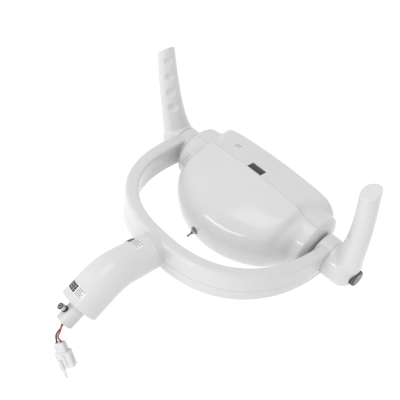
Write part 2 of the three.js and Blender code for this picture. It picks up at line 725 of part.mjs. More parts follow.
function elbowSkin(inset, sides) {
  const line = elbowLine();
  const rings = line.map(({ y, z, turn }, index) => {
    const radius = mix(ELBOW_RADIUS_YOKE, ELBOW_RADIUS_END, index / (line.length - 1)) - inset;
    const points = [];
    for (let k = 0; k < sides; k += 1) {
      const angle = (2 * Math.PI * k) / sides;
      const lift = radius * Math.sin(angle);
      points.push(
        new THREE.Vector3(radius * Math.cos(angle), y - lift * Math.sin(turn), z + lift * Math.cos(turn)),
      );
    }
    return points;
  });
  return solidOf(loft(rings));
}

const elbowShell = cut(elbowSkin(0, 24), elbowSkin(ELBOW_WALL, 16));
const elbowEndPlate = ring('y', 13.3, ELBOW_RADIUS_END - 1.2, 0.2, 4, 24);
elbowEndPlate.rotateX(ELBOW_BEND).translate(0, SHOULDER_Y, SHOULDER_Z);
const entryY = yokeBackY - BOSS_LENGTH - GAP;
const elbowEntryPlate = ring('y', 9, ELBOW_RADIUS_YOKE - 1.2, entryY - 3, entryY, 24);
elbowEntryPlate.translate(0, 0, ELBOW_AXIS_HEIGHT);
add(
  yokeGroup,
  'elbow_shell',
  geometryOf(joined(elbowShell, solidOf(elbowEndPlate), solidOf(elbowEntryPlate))),
  WHITE_ABS,
);

// ---------------------------------------------------------------- spigot and its hardware

const screwTilt = THREE.MathUtils.degToRad(-19);
const SCREW_Y = -11.7;
function atScrew(geometry) {
  geometry.rotateY(screwTilt);
  return geometry.translate(0, SCREW_Y, 0);
}

const spigotTube = solidOf(ring('y', SPIGOT_BORE, SPIGOT_RADIUS, -SPIGOT_LENGTH, 24, 32));
const screwHole = solidOf(atScrew(rod('z', 2.4, 5, 14, 12)));
add(spigotGroup, 'spigot_tube', geometryOf(cut(spigotTube, screwHole)), STEEL);
add(spigotGroup, 'spigot_bush', ring('y', SPIGOT_RADIUS + GAP, 13, -0.4, 4.2, 28), ACETAL);
add(spigotGroup, 'spigot_clip', ring('y', SPIGOT_RADIUS + GAP, 16, 4.6, 6.4, 28), STEEL);
add(spigotGroup, 'locking_nut', atScrew(nut('z', 2.4, 4, 11.3, 14)), STEEL);
const screwHead = solidOf(rod('z', 3.8, 14.3, 20.5, 20));
const screwSocket = solidOf(rod('z', 2.1, 17, 22, 6));
const lockingScrew = cut(joined(solidOf(rod('z', 2.1, 8.8, 14.8, 14)), screwHead), screwSocket);
add(spigotGroup, 'locking_screw', atScrew(geometryOf(lockingScrew)), STEEL);

// ---------------------------------------------------------------- wires and connector

// The connector hangs from its wires: down is its own long axis, wide its broad side.
const connectorDown = new THREE.Vector3(...CONNECTOR_DOWN).normalize();
const connectorWide = new THREE.Vector3(...CONNECTOR_WIDE);
connectorWide.addScaledVector(connectorDown, -connectorWide.dot(connectorDown)).normalize();
const connectorThick = new THREE.Vector3().crossVectors(connectorDown, connectorWide);
const connectorTop = new THREE.Vector3(...CONNECTOR_TOP);
const connectorPlace = new THREE.Matrix4().makeBasis(connectorWide, connectorThick, connectorDown);
connectorPlace.setPosition(connectorTop);

const spigotOut = new THREE.Vector3(0, -1, 0).applyAxisAngle(alongX, YOKE_TILT + ELBOW_BEND);
const wireLine = new THREE.CatmullRomCurve3(
  [
    spigotOut.clone().multiplyScalar(-14),
    spigotOut.clone().multiplyScalar(0),
    spigotOut.clone().multiplyScalar(14),
    spigotOut.clone().multiplyScalar(SPIGOT_LENGTH + 2),
    spigotOut.clone().multiplyScalar(SPIGOT_LENGTH + 7).add(new THREE.Vector3(-0.4, 0, -7)),
    connectorTop.clone().addScaledVector(connectorDown, -8),
    connectorTop.clone(),
    connectorTop.clone().addScaledVector(connectorDown, COLLAR_LENGTH + 3),
  ],
  false,
  'centripetal',
);
const WIRE_LINE_LENGTH = wireLine.getLength();
const TWIST_START = 14 + SPIGOT_LENGTH - 6; // along the line
const TWIST_END = WIRE_LINE_LENGTH - COLLAR_LENGTH - 6;

// Middle of one wire of the pair, at a distance along the line; side is -1 or 1.
function wirePoint(distance, side) {
  const at = distance / WIRE_LINE_LENGTH;
  const tangent = wireLine.getTangentAt(at);
  const across = connectorWide.clone().addScaledVector(tangent, -connectorWide.dot(tangent)).normalize();
  const up = new THREE.Vector3().crossVectors(tangent, across);
  const twisted = THREE.MathUtils.smoothstep(distance, TWIST_START, TWIST_END);
  const parted = THREE.MathUtils.smoothstep(distance, TWIST_END - 4, TWIST_END + 6);
  const twist = 2 * Math.PI * WIRE_TWIST * (1 - twisted);
  const spread = mix(WIRE_SPREAD, TERMINAL_SPACING / 2, parted);
  const point = wireLine.getPointAt(at);
  point.addScaledVector(across, side * spread * Math.cos(twist));
  return point.addScaledVector(up, side * spread * Math.sin(twist));
}

function wire(side, radius, from, to, steps, sides) {
  const rings = [];
  for (let k = 0; k <= steps; k += 1) {
    const distance = mix(from, to, k / steps);
    const ahead = wirePoint(Math.min(distance + 0.1, WIRE_LINE_LENGTH), side);
    const behind = wirePoint(Math.max(distance - 0.1, 0), side);
    const tangent = ahead.sub(behind).normalize();
    const across = connectorWide.clone().addScaledVector(tangent, -connectorWide.dot(tangent)).normalize();
    const up = new THREE.Vector3().crossVectors(tangent, across);
    const middle = wirePoint(distance, side);
    const points = [];
    for (let j = 0; j < sides; j += 1) {
      const angle = (2 * Math.PI * j) / sides;
      const point = middle.clone().addScaledVector(across, radius * Math.cos(angle));
      points.push(point.addScaledVector(up, radius * Math.sin(angle)));
    }
    rings.push(points);
  }
  return loft(rings);
}

const wireEnd = WIRE_LINE_LENGTH - 0.4;
add(light, 'wire_red', wire(1, WIRE_RADIUS, 0, wireEnd, 26, 8), RED_WIRE);
add(light, 'wire_black', wire(-1, WIRE_RADIUS, 0, wireEnd, 26, 8), BLACK_WIRE);

const wirePassages = [-1, 1].map((side) => {
  return solidOf(wire(side, WIRE_RADIUS + 1.3 * GAP, 0, WIRE_LINE_LENGTH, 26, 8));
});
const grommet = solidOf(ring('y', 0, SPIGOT_BORE - GAP, 3, 11, 24).rotateX(YOKE_TILT + ELBOW_BEND));
add(light, 'wire_grommet', geometryOf(cut(grommet, ...wirePassages)), RUBBER);

function atConnector(geometry) {
  return geometry.applyMatrix4(connectorPlace);
}

const [bodyTop, bodyEnd] = [COLLAR_LENGTH, COLLAR_LENGTH + BODY_LENGTH];
function block(middleX, width, y0, y1, z0, z1) {
  return box(middleX - width / 2, middleX + width / 2, y0, y1, z0, z1);
}
const back = -BODY_THICKNESS / 2;
const collar = block(0, COLLAR_WIDTH, -COLLAR_THICKNESS / 2, COLLAR_THICKNESS / 2, 0, bodyTop + 1);
const bodyBlock = block(0, BODY_WIDTH, back, -back, bodyTop, bodyEnd);
const tongue = block(TONGUE_X, TONGUE_WIDTH, -back - 0.8, -back + 1.2, bodyEnd - 12, bodyEnd + TONGUE_REACH);
const keyRib = block(0, 4, -back - 1, -back + 1.4, bodyTop + 3, bodyEnd - 3);
const terminalBores = [-1, 1].map((side) => {
  const bore = rod('z', 2.5, bodyTop + 2, bodyEnd + 1, 16);
  return solidOf(atConnector(bore.translate((side * TERMINAL_SPACING) / 2, 0, 0)));
});
const housing = joined(...[collar, bodyBlock, tongue, keyRib].map((piece) => solidOf(atConnector(piece))));
add(light, 'connector_housing', geometryOf(cut(housing, ...wirePassages, ...terminalBores)), NYLON);

[['red', 1], ['black', -1]].forEach(([name, side]) => {
  const terminal = ring('z', 1.2, 2.1, bodyTop + 3.6, bodyEnd - 2, 14);
  terminal.translate((side * TERMINAL_SPACING) / 2, 0, 0);
  add(light, `terminal_${name}`, atConnector(terminal), BRASS);
});

export default light;
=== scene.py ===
"""The looks of a dental operating light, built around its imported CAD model.

Lengths are millimetres until a piece is made, which turns them into metres. The floor, the
lights and the place the lights aim at are in metres.
"""

import json
import math

import bmesh
import bpy
import numpy as np
from mathutils import Matrix, Vector


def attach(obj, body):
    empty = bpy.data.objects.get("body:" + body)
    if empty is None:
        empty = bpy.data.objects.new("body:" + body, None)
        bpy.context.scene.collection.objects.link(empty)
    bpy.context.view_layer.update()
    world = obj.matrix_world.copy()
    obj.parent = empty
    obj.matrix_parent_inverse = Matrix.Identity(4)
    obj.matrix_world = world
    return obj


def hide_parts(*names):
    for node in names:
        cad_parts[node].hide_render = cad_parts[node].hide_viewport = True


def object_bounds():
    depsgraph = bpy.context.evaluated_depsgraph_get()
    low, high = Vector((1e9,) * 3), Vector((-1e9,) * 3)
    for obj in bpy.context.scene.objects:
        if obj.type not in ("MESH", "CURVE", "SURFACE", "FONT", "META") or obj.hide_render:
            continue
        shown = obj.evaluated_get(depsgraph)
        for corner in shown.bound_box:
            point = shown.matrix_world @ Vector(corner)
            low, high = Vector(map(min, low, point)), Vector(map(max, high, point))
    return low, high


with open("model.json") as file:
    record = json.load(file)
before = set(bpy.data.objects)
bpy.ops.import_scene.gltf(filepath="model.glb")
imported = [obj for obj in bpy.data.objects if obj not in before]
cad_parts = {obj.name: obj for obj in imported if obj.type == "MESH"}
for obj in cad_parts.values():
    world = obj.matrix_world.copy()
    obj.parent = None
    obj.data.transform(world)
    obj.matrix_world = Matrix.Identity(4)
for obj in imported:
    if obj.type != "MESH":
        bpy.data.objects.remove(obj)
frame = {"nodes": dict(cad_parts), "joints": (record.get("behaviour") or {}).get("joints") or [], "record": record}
cad_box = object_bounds()

MM = 0.001
GAP = 0.3  # clearance between neighbouring pieces
AXLE_BORE_REACH = 130

# ---------------------------------------------------------------- driving dimensions

SPIGOT_RADIUS = 11
SPIGOT_LENGTH = 25.5
SPIGOT_BORE = 8.4
ELBOW_RADIUS_YOKE = 22.8
ELBOW_RADIUS_END = 24.4
ELBOW_BEND = math.radians(38)
ELBOW_BEND_RADIUS = 52
ELBOW_AXIS_HEIGHT = 0.5
SHOULDER_Y = -285
SHOULDER_Z = -30
SCREW_Y = -11.7
SCREW_TILT = math.radians(-19)

YOKE_TILT = math.radians(-17)
YOKE_HALF_WIDTH = 123.8
YOKE_DEPTH = 153.3
YOKE_ARM_Y = -10.5
YOKE_POWER = 2.44
YOKE_THICKNESS = 17.4
YOKE_HEIGHT = 41
YOKE_CORNER = 4
YOKE_SCREW_TURNS = (0.62, 1.18, math.pi - 1.18, math.pi - 0.62)  # along the curve, in radians
YOKE_SEAM_Z = -3.5
YOKE_BACK_Y = YOKE_ARM_Y - YOKE_DEPTH - YOKE_THICKNESS
BOSS_LENGTH = 9
HUB_RADIUS = 24.3
HUB_INNER_X = 120.3
HUB_OUTER_X = 139.7
YOKE_END_Y = 6
YOKE_BORE = 11
YOKE_SCREW_SINK = 1.6
AXLE_RADIUS = 6

CROWN = 54.3
CROWN_FALL = 5
BELLY = 50
SHOULDER_X = 78
FRONT_Y = 48
FRONT_SLOPE = 0.3
FRONT_END_X = 104
FRONT_END_POWER = 2.5
REAR_HALF_WIDTH = 108
REAR_DEPTH = 99.5
FLANGE_START_X = 88
FLANGE_ROUND_X = 110
FLANGE_REACH = 4.5
HEAD_END_X = 117
NECK_RADIUS = 18
FLANGE_RADIUS = 40.8  # where the flange starts
FLANGE_TAPER = 0.12
SHELL_WALL = 2.6
SEAM_Y = -1.5
WINDOW_Y = 5
WINDOW_HALF_WIDTH = 11.5
WINDOW_HALF_HEIGHT = 5.7
INDICATOR_HALF_SIDE = 3.3
PANE_DEPTHS = (-2.4, -0.3)  # inner and outer face, from the front shell's top
INDICATOR_X = -49.5
INDICATOR_Y = 20.5

LENS_HALF_WIDTH = 84
LENS_HALF_HEIGHT = 23.5
BEZEL_BAND = 5
BEZEL_FACES = (42.6, 47.6)
LENS_FACES = (43.2, 46.2)
LAMP_COLUMNS = (-52, 0, 52)
LAMP_ROWS = (-11, 11)

GRIP_X = 163
GRIP_TOP = 158
GRIP_TIP_RADIUS = 11.3
GRIP_FLARE = 5.4
GRIP_TAPER = 1.6
GRIP_BOW = 3.5
GRIP_FOOT_HEIGHT = 30
GRIP_FOOT_SHIFT = 5.5
GRIP_FOOT_SWELL = 8.5
GRIP_SIDES = 64
LEFT_HUB_ROUND_X = 149
LEFT_HUB_END_X = 170.5
RIGHT_HUB_ROUND_X = 160
RIGHT_HUB_END_X = 175.5
HUB_END_TURN = 1.2  # radians
AXLE_SOCKET_END = 166.5
SCALLOP_PITCH = 27
SCALLOP_COUNT = 4
SCALLOP_DEPTH = 2.3
FLARE_TURN = math.radians(47)
SCALLOP_TURN = math.radians(-28)

KNOB_RADIUS = 10.8
KNOB_LENGTH = 6.4
KNOB_LEAN = math.radians(-4)
KNOB_BASE = (175, 0, -3.2)
KNOB_RIB_COUNT = 32
KNOB_RIB_DEPTH = 0.25
KNOB_SIDES = 192

TOGGLE_X = -10
TOGGLE_Z = 6
TOGGLE_WALL_Y = -98.6
TOGGLE_BUSH_RADIUS = 3

WIRE_RADIUS = 1
WIRE_START = 14  # how far inside the elbow's end face the wires begin
WIRE_SPREAD = 1.2  # from the pair's middle to each wire's middle
WIRE_TWIST = 0.35  # turns from end to end
TWIST_MARGIN = 6  # how far from the spigot's mouth and the collar the twist begins and ends
CONNECTOR_TOP = (0.2, -38.3, -38.6)
CONNECTOR_DOWN = (0.58, -0.19, -0.79)
CONNECTOR_WIDE = (0.68, 0.75, 0.35)
COLLAR_WIDTH = 12.5
COLLAR_THICKNESS = 7.6
COLLAR_LENGTH = 12
BODY_WIDTH = 17.5
BODY_THICKNESS = 9.5
BODY_LENGTH = 21
TERMINAL_SPACING = 6.6
TONGUE_REACH = 12
TONGUE_X = -5.6
TONGUE_WIDTH = 4.6

# ---------------------------------------------------------------- frames

joints = {joint["name"]: joint for joint in frame["joints"]}
tilt_centre = Vector(joints["head_tilt"]["pos_m"]) / MM
HEAD = Matrix.Translation(tilt_centre)
YOKE = HEAD @ Matrix.Rotation(YOKE_TILT, 4, "X")
SPIGOT = Matrix.Rotation(YOKE_TILT + ELBOW_BEND, 4, "X")
KNOB = HEAD @ Matrix.Translation(KNOB_BASE) @ Matrix.Rotation(KNOB_LEAN, 4, "Y")
TOGGLE = HEAD @ Matrix.Translation((TOGGLE_X, TOGGLE_WALL_Y, TOGGLE_Z))
SCREW = SPIGOT @ Matrix.Translation((0, SCREW_Y, 0)) @ Matrix.Rotation(SCREW_TILT, 4, "Y")

# ---------------------------------------------------------------- camera

CAMERA_PLACE = (332.65, -97.57, 599.56)
CAMERA_RIGHT = (0.6813, 0.7312, -0.0340)
CAMERA_BACK = (0.4602, -0.3918, 0.7967)
CAMERA_LENS = 53.8
CAMERA_SENSOR = 36
CAMERA_REACH = 20  # metres


def basis(right, up, back, place):
    """A matrix whose columns are three directions and a place."""
    rows = zip(right, up, back, place)
    return Matrix([*rows, (0, 0, 0, 1)])


def make_camera():
    back = Vector(CAMERA_BACK).normalized()
    right = Vector(CAMERA_RIGHT)
    right = (right - back * right.dot(back)).normalized()
    data = bpy.data.cameras.new("camera")
    data.lens = CAMERA_LENS
    data.sensor_width = CAMERA_SENSOR
    data.clip_end = CAMERA_REACH
    camera = bpy.data.objects.new("camera", data)
    camera.matrix_world = basis(right, back.cross(right), back, Vector(CAMERA_PLACE) * MM)
    bpy.context.scene.collection.objects.link(camera)
    bpy.context.scene.camera = camera


make_camera()

# ---------------------------------------------------------------- materials


def new_material(name, color, roughness, **settings):
    """A principled material; settings are more of its sockets, by name."""
    material = bpy.data.materials.new(name)
    material.use_nodes = True
    shader = material.node_tree.nodes["Principled BSDF"]
    shader.inputs["Base Color"].default_value = (*color, 1)
    shader.inputs["Roughness"].default_value = roughness
    for socket, value in settings.items():
        shader.inputs[socket.replace("_", " ")].default_value = value
    return material


def noise(tree, scale, detail, stretch=(1, 1, 1)):
    """Noise over the object's own coordinates, scale in features per metre."""
    place = tree.nodes.new("ShaderNodeTexCoord")
    mapping = tree.nodes.new("ShaderNodeMapping")
    mapping.inputs["Scale"].default_value = stretch
    texture = tree.nodes.new("ShaderNodeTexNoise")
    texture.inputs["Scale"].default_value = scale
    texture.inputs["Detail"].default_value = detail
    tree.links.new(place.outputs["Object"], mapping.inputs["Vector"])
    tree.links.new(mapping.outputs["Vector"], texture.inputs["Vector"])
    return texture


def vary_color(material, scale, low, high):
    """Mixes two close colours over the surface by noise."""
    tree = material.node_tree
    shader = tree.nodes["Principled BSDF"]
    ramp = tree.nodes.new("ShaderNodeValToRGB")
    ramp.color_ramp.elements[0].position = 0.3
    ramp.color_ramp.elements[0].color = (*low, 1)
    ramp.color_ramp.elements[1].position = 0.7
    ramp.color_ramp.elements[1].color = (*high, 1)
    tree.links.new(noise(tree, scale, 3).outputs["Fac"], ramp.inputs["Fac"])
    tree.links.new(ramp.outputs["Color"], shader.inputs["Base Color"])


def vary_roughness(material, scale, low, high, stretch=(1, 1, 1)):
    tree = material.node_tree
    shader = tree.nodes["Principled BSDF"]
    span = tree.nodes.new("ShaderNodeMapRange")
    span.inputs["To Min"].default_value = low
    span.inputs["To Max"].default_value = high
    texture = noise(tree, scale, 4, stretch)
    tree.links.new(texture.outputs["Fac"], span.inputs["Value"])
    tree.links.new(span.outputs["Result"], shader.inputs["Roughness"])


def add_bump(material, scale, strength, distance, stretch=(1, 1, 1)):
    tree = material.node_tree
    shader = tree.nodes["Principled BSDF"]
    bump = tree.nodes.new("ShaderNodeBump")
    bump.inputs["Strength"].default_value = strength
    bump.inputs["Distance"].default_value = distance
    texture = noise(tree, scale, 5, stretch)
    tree.links.new(texture.outputs["Fac"], bump.inputs["Height"])
    tree.links.new(bump.outputs["Normal"], shader.inputs["Normal"])


def make_white_abs():
    settings = {"IOR": 1.5, "Subsurface_Weight": 0.06, "Subsurface_Scale": 0.002}
    material = new_material("white_abs", (0.612, 0.613, 0.615), 0.12, **settings)
    vary_color(material, 18, (0.605, 0.606, 0.608), (0.622, 0.623, 0.625))
    vary_roughness(material, 260, 0.08, 0.14)
    add_bump(material, 900, 0.03, 0.0002)
    return material


def make_metal(name, color, roughness, stretch):
    material = new_material(name, color, roughness, Metallic=1.0)
    vary_roughness(material, 400, roughness * 0.7, roughness * 1.4, stretch)
    add_bump(material, 700, 0.06, 0.0002, stretch)
    return material


def make_plastic(name, color, roughness, grain=1200, **settings):
    material = new_material(name, color, roughness, **settings)
    darker = tuple(0.9 * part for part in color)
    lighter = tuple(min(1, 1.08 * part) for part in color)
    vary_color(material, 60, darker, lighter)
    vary_roughness(material, 300, roughness * 0.8, roughness * 1.2)
    add_bump(material, grain, 0.1, 0.0001)
    return material


def make_lens_material():
    settings = {"Transmission_Weight": 1.0, "IOR": 1.49}
    material = new_material("clear_lens", (0.93, 0.96, 0.97), 0.03, **settings)
    vary_roughness(material, 500, 0.02, 0.06)
    return material


MATERIALS = {
    "white_abs": make_white_abs(),
    "grey_abs": make_plastic("grey_abs", (0.075, 0.076, 0.079), 0.4),
    # knob_face is the knob's own dark grey made lighter: painted light on the face that turns to the lamps
    "knob_face": make_plastic("knob_face", (0.19, 0.192, 0.196), 0.4),
    "indicator_grey": make_plastic("indicator_grey", (0.52, 0.53, 0.54), 0.3),
    "clear_lens": make_lens_material(),
    "dark_window": make_plastic("dark_window", (0.022, 0.022, 0.024), 0.3),
    "aluminium": make_metal("aluminium", (0.7, 0.71, 0.72), 0.35, (1, 6, 1)),
    "steel": make_metal("steel", (0.56, 0.57, 0.58), 0.25, (1, 6, 1)),
    "spigot_steel": make_plastic("spigot_steel", (0.54, 0.55, 0.55), 0.33, 800),
    "black_steel": make_metal("black_steel", (0.07, 0.07, 0.072), 0.3, (1, 1, 6)),
    "dark_steel": make_metal("dark_steel", (0.24, 0.24, 0.245), 0.25, (1, 6, 1)),
    "brass": make_metal("brass", (0.75, 0.55, 0.22), 0.3, (1, 1, 4)),
    "acetal": make_plastic("acetal", (0.66, 0.66, 0.64), 0.45),
    "board": make_plastic("board", (0.02, 0.17, 0.07), 0.5),
    "white_board": make_plastic("white_board", (0.8, 0.8, 0.78), 0.5),
    "nylon": make_plastic("nylon", (0.72, 0.725, 0.74), 0.35, 700, Transmission_Weight=0.15),
    "rubber_black": make_plastic("rubber_black", (0.02, 0.02, 0.02), 0.7),
    "red_wire": make_plastic("red_wire", (0.33, 0.018, 0.022), 0.35),
    "black_wire": make_plastic("black_wire", (0.012, 0.012, 0.013), 0.35),
    "label_paper": make_plastic("label_paper", (0.74, 0.74, 0.74), 0.3),
    "label_ink": make_plastic("label_ink", (0.03, 0.03, 0.032), 0.45),
}

# ---------------------------------------------------------------- mesh tools


def new_mesh(name, points, faces, place):
    """A mesh from points in millimetres in a local frame, set at its place in metres."""
    mesh = bpy.data.meshes.new(name)
    mesh.from_pydata([tuple(map(float, point)) for point in points], [], faces)
    mesh.transform(Matrix.Scale(MM, 4) @ place)
    piece = bpy.data.objects.new(name, mesh)
    bpy.context.scene.collection.objects.link(piece)
    outwards(piece)
    return piece


def outwards(piece):
    work = bmesh.new()
    work.from_mesh(piece.data)
    bmesh.ops.remove_doubles(work, verts=work.verts, dist=1e-7)
    bmesh.ops.recalc_face_normals(work, faces=work.faces)
    work.to_mesh(piece.data)
    work.free()


def loft(name, rings, place, closed=False):
    """A skin over rings of points; closed joins the last ring to the first, otherwise ends are fanned."""
    rings = np.asarray(rings, dtype=float)
    count, sides = rings.shape[:2]
    points = list(rings.reshape(-1, 3))
    faces = []
    for i in range(count if closed else count - 1):
        for j in range(sides):
            a, b = i * sides, (i + 1) % count * sides
            k = (j + 1) % sides
            faces.append((a + j, a + k, b + k, b + j))
    if not closed:
        for start in (0, (count - 1) * sides):
            points.append(rings.reshape(-1, 3)[start:start + sides].mean(axis=0))
            hub = len(points) - 1
            faces += [(start + j, start + (j + 1) % sides, hub) for j in range(sides)]
    return new_mesh(name, points, faces, place)


AXES = {"X": ((0, 1, 0), (0, 0, 1), (1, 0, 0)), "Y": ((0, 0, 1), (1, 0, 0), (0, 1, 0)),
        "Z": ((1, 0, 0), (0, 1, 0), (0, 0, 1))}


def turned(name, profile, axis, place, sides):
    """A turned piece: profile lists (radius, along) and closes on itself, unless it ends on the axis."""
    side, up, along = (np.array(direction) for direction in AXES[axis])
    turns = np.arange(sides) * 2 * math.pi / sides
    ring = np.outer(np.cos(turns), side) + np.outer(np.sin(turns), up)
    rings = [radius * ring + height * along for radius, height in profile]
    return loft(name, rings, place, closed=profile[0][0] > 0)


def rounded_rod(name, radius, start, end, axis, place, edge=0.5, sides=64):
    """A solid cylinder with rounded rims."""
    turns = np.linspace(0, math.pi / 2, 5)
    rim = [(edge * (1 - math.sin(turn)), edge * (1 - math.cos(turn))) for turn in turns]
    profile = [(0, start)]
    profile += [(radius - inset, start + rise) for inset, rise in rim]
    profile += [(radius - rise, end - inset) for inset, rise in rim]
    profile.append((0, end))
    return turned(name, profile, axis, place, sides)


def tube(name, inner, outer, start, end, axis, place, sides=64):
    profile = [(inner, start), (outer, start), (outer, end), (inner, end)]
    return turned(name, profile, axis, place, sides)


def block(name, low, high, place):
    """A box, used only to cut or join with, or rounded afterwards."""
    points = [(x, y, z) for x in (low[0], high[0]) for y in (low[1], high[1]) for z in (low[2], high[2])]
    faces = [(0, 1, 3, 2), (4, 6, 7, 5), (0, 4, 5, 1), (2, 3, 7, 6), (0, 2, 6, 4), (1, 5, 7, 3)]
    return new_mesh(name, points, faces, place)


def settle(piece):
    """Applies the piece's modifiers."""
    graph = bpy.context.evaluated_depsgraph_get()
    mesh = bpy.data.meshes.new_from_object(piece.evaluated_get(graph))
    piece.modifiers.clear()
    piece.data = mesh
    return piece


def discard(piece):
    bpy.data.objects.remove(piece, do_unlink=True)


def merge(first, *others):
    """Puts the others' meshes into the first."""
    work = bmesh.new()
    for piece in (first, *others):
        work.from_mesh(piece.data)
    work.to_mesh(first.data)
    work.free()
    for piece in others:
        discard(piece)
    return first


def carve(piece, *cutters, operation="DIFFERENCE"):
    for cutter in cutters:
        modifier = piece.modifiers.new("cut", "BOOLEAN")
        modifier.operation = operation
        modifier.object = cutter
        modifier.solver = "EXACT"
        settle(piece)
        discard(cutter)
    return piece


def remesh(piece, voxel, smoothing):
    """One smooth skin over whatever closed bodies the piece holds."""
    modifier = piece.modifiers.new("remesh", "REMESH")
    modifier.mode = "VOXEL"
    modifier.voxel_size = voxel * MM
    settle(piece)
    modifier = piece.modifiers.new("smooth", "SMOOTH")
    modifier.factor = 0.5
    modifier.iterations = smoothing
    return settle(piece)


def halve(piece, point, normal, place):
    """Keeps the side of a plane that the normal points away from, and closes the cut."""
    matrix = Matrix.Scale(MM, 4) @ place
    at = matrix @ Vector(point)
    direction = (matrix.to_3x3() @ Vector(normal)).normalized()
    work = bmesh.new()
    work.from_mesh(piece.data)
    parts = [*work.verts, *work.edges, *work.faces]
    cut = bmesh.ops.bisect_plane(work, geom=parts, plane_co=at, plane_no=direction, clear_outer=True)
    edges = [part for part in cut["geom_cut"] if isinstance(part, bmesh.types.BMEdge)]
    bmesh.ops.holes_fill(work, edges=edges, sides=0)
    work.to_mesh(piece.data)
    work.free()
    return piece


def copy_of(piece, name):
    twin = piece.copy()
    twin.data = piece.data.copy()
    twin.name = name
    bpy.context.scene.collection.objects.link(twin)
    return twin


def finish(piece, body, material, nodes=(), bevel=0, angle=35):
    """Rounds the piece's sharp edges, shades it, and hands it to its body."""
    if bevel:
        modifier = piece.modifiers.new("bevel", "BEVEL")
        modifier.width = bevel * MM
        modifier.segments = 3
        modifier.limit_method = "ANGLE"
        modifier.angle_limit = math.radians(angle)
        settle(piece)
    piece.data.shade_smooth()
    piece.data.set_sharp_from_angle(angle=math.radians(angle))
    piece.data.materials.clear()
    piece.data.materials.append(MATERIALS[material])
    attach(piece, body)
    if nodes:
        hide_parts(*nodes)
    return piece


def smooth_max(a, b, softness):
    return 0.5 * (a + b + np.sqrt((a - b) ** 2 + softness ** 2))


def smooth_min(a, b, softness):
    return -smooth_max(-a, -b, softness)


def mix(a, b, t):
    return a + (b - a) * t


def smooth_step(value, low, high):
    t = np.clip((value - low) / (high - low), 0, 1)
    return t * t * (3 - 2 * t)


# ---------------------------------------------------------------- wires and connector


def catmull_rom(controls, steps):
    """A centripetal curve through the control points, with extra end points held in line."""
    points = [Vector(point) for point in controls]
    points = [2 * points[0] - points[1], *points, 2 * points[-1] - points[-2]]
    curve = []
    for a, b, c, d in zip(points, points[1:], points[2:], points[3:]):
        knots = [0]
        for one, two in ((a, b), (b, c), (c, d)):
            knots.append(knots[-1] + math.sqrt((two - one).length))
        for step in range(steps):
            t = mix(knots[1], knots[2], step / steps)
            first = a.lerp(b, (t - knots[0]) / (knots[1] - knots[0]))
            second = b.lerp(c, (t - knots[1]) / (knots[2] - knots[1]))
            third = c.lerp(d, (t - knots[2]) / (knots[3] - knots[2]))
            left = first.lerp(second, (t - knots[0]) / (knots[2] - knots[0]))
            right = second.lerp(third, (t - knots[1]) / (knots[3] - knots[1]))
            curve.append(left.lerp(right, (t - knots[1]) / (knots[2] - knots[1])))
    curve.append(points[-2].copy())
    return curve


def relaxed(points, rounds):
    """Evens out the bends of a line, keeping its ends."""
    for _ in range(rounds):
        middles = [(a + 2 * b + c) / 4 for a, b, c in zip(points, points[1:], points[2:])]
        points = [points[0], *middles, points[-1]]
    return points


down = Vector(CONNECTOR_DOWN).normalized()
wide = Vector(CONNECTOR_WIDE)
wide = (wide - down * wide.dot(down)).normalized()
top = Vector(CONNECTOR_TOP)
CONNECTOR = basis(wide, down.cross(wide), down, top)
spigot_out = (SPIGOT.to_3x3() @ Vector((0, -1, 0))).normalized()

ROUTE = [
    -WIRE_START * spigot_out,
    0 * spigot_out,
    14 * spigot_out,
    (SPIGOT_LENGTH + 2) * spigot_out,
    (SPIGOT_LENGTH + 7) * spigot_out + Vector((-0.4, 0, -7)),
    top - 8 * down,
    top,
    top + (COLLAR_LENGTH + 3) * down,
]


def wire_points(side):
    """The middle line of one wire of the twisted pair; side is -1 or 1."""
    line = relaxed(catmull_rom(ROUTE, 5), 4)
    lengths = np.cumsum([0, *((b - a).length for a, b in zip(line, line[1:]))])
    twist_start = WIRE_START + SPIGOT_LENGTH - TWIST_MARGIN
    twist_end = lengths[-1] - COLLAR_LENGTH - TWIST_MARGIN
    points = []
    last = len(line) - 1
    for index, (point, distance) in enumerate(zip(line, lengths)):
        tangent = (line[min(index + 1, last)] - line[max(index - 1, 0)]).normalized()
        across = (wide - tangent * wide.dot(tangent)).normalized()
        up = tangent.cross(across)
        twist = 2 * math.pi * WIRE_TWIST * float(1 - smooth_step(distance, twist_start, twist_end))
        parted = float(smooth_step(distance, twist_end - 4, twist_end + 6))
        spread = side * mix(WIRE_SPREAD, TERMINAL_SPACING / 2, parted)
        points.append(point + spread * (across * math.cos(twist) + up * math.sin(twist)))
    return points[:-1]


def make_wire(colour, side):
    """One wire as a curve, and its length in millimetres."""
    points = wire_points(side)
    data = bpy.data.curves.new(f"{colour}_wire", "CURVE")
    data.dimensions = "3D"
    data.bevel_depth = WIRE_RADIUS * MM
    data.bevel_resolution = 6
    data.use_fill_caps = True
    spline = data.splines.new("NURBS")
    spline.points.add(len(points) - 1)
    spline.order_u = 4
    spline.use_endpoint_u = True
    spline.resolution_u = 4
    for knot, point in zip(spline.points, points):
        knot.co = (*(point * MM), 1)
    data.materials.append(MATERIALS[f"{colour}_wire"])
    wire = bpy.data.objects.new(f"{colour}_wire_flex", data)
    bpy.context.scene.collection.objects.link(wire)
    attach(wire, "spigot")
    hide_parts(f"wire_{colour}")
    return wire, float(sum((b - a).length for a, b in zip(points, points[1:])))


def terminal_place(side):
    return CONNECTOR @ Matrix.Translation((side * TERMINAL_SPACING / 2, 0, 0))


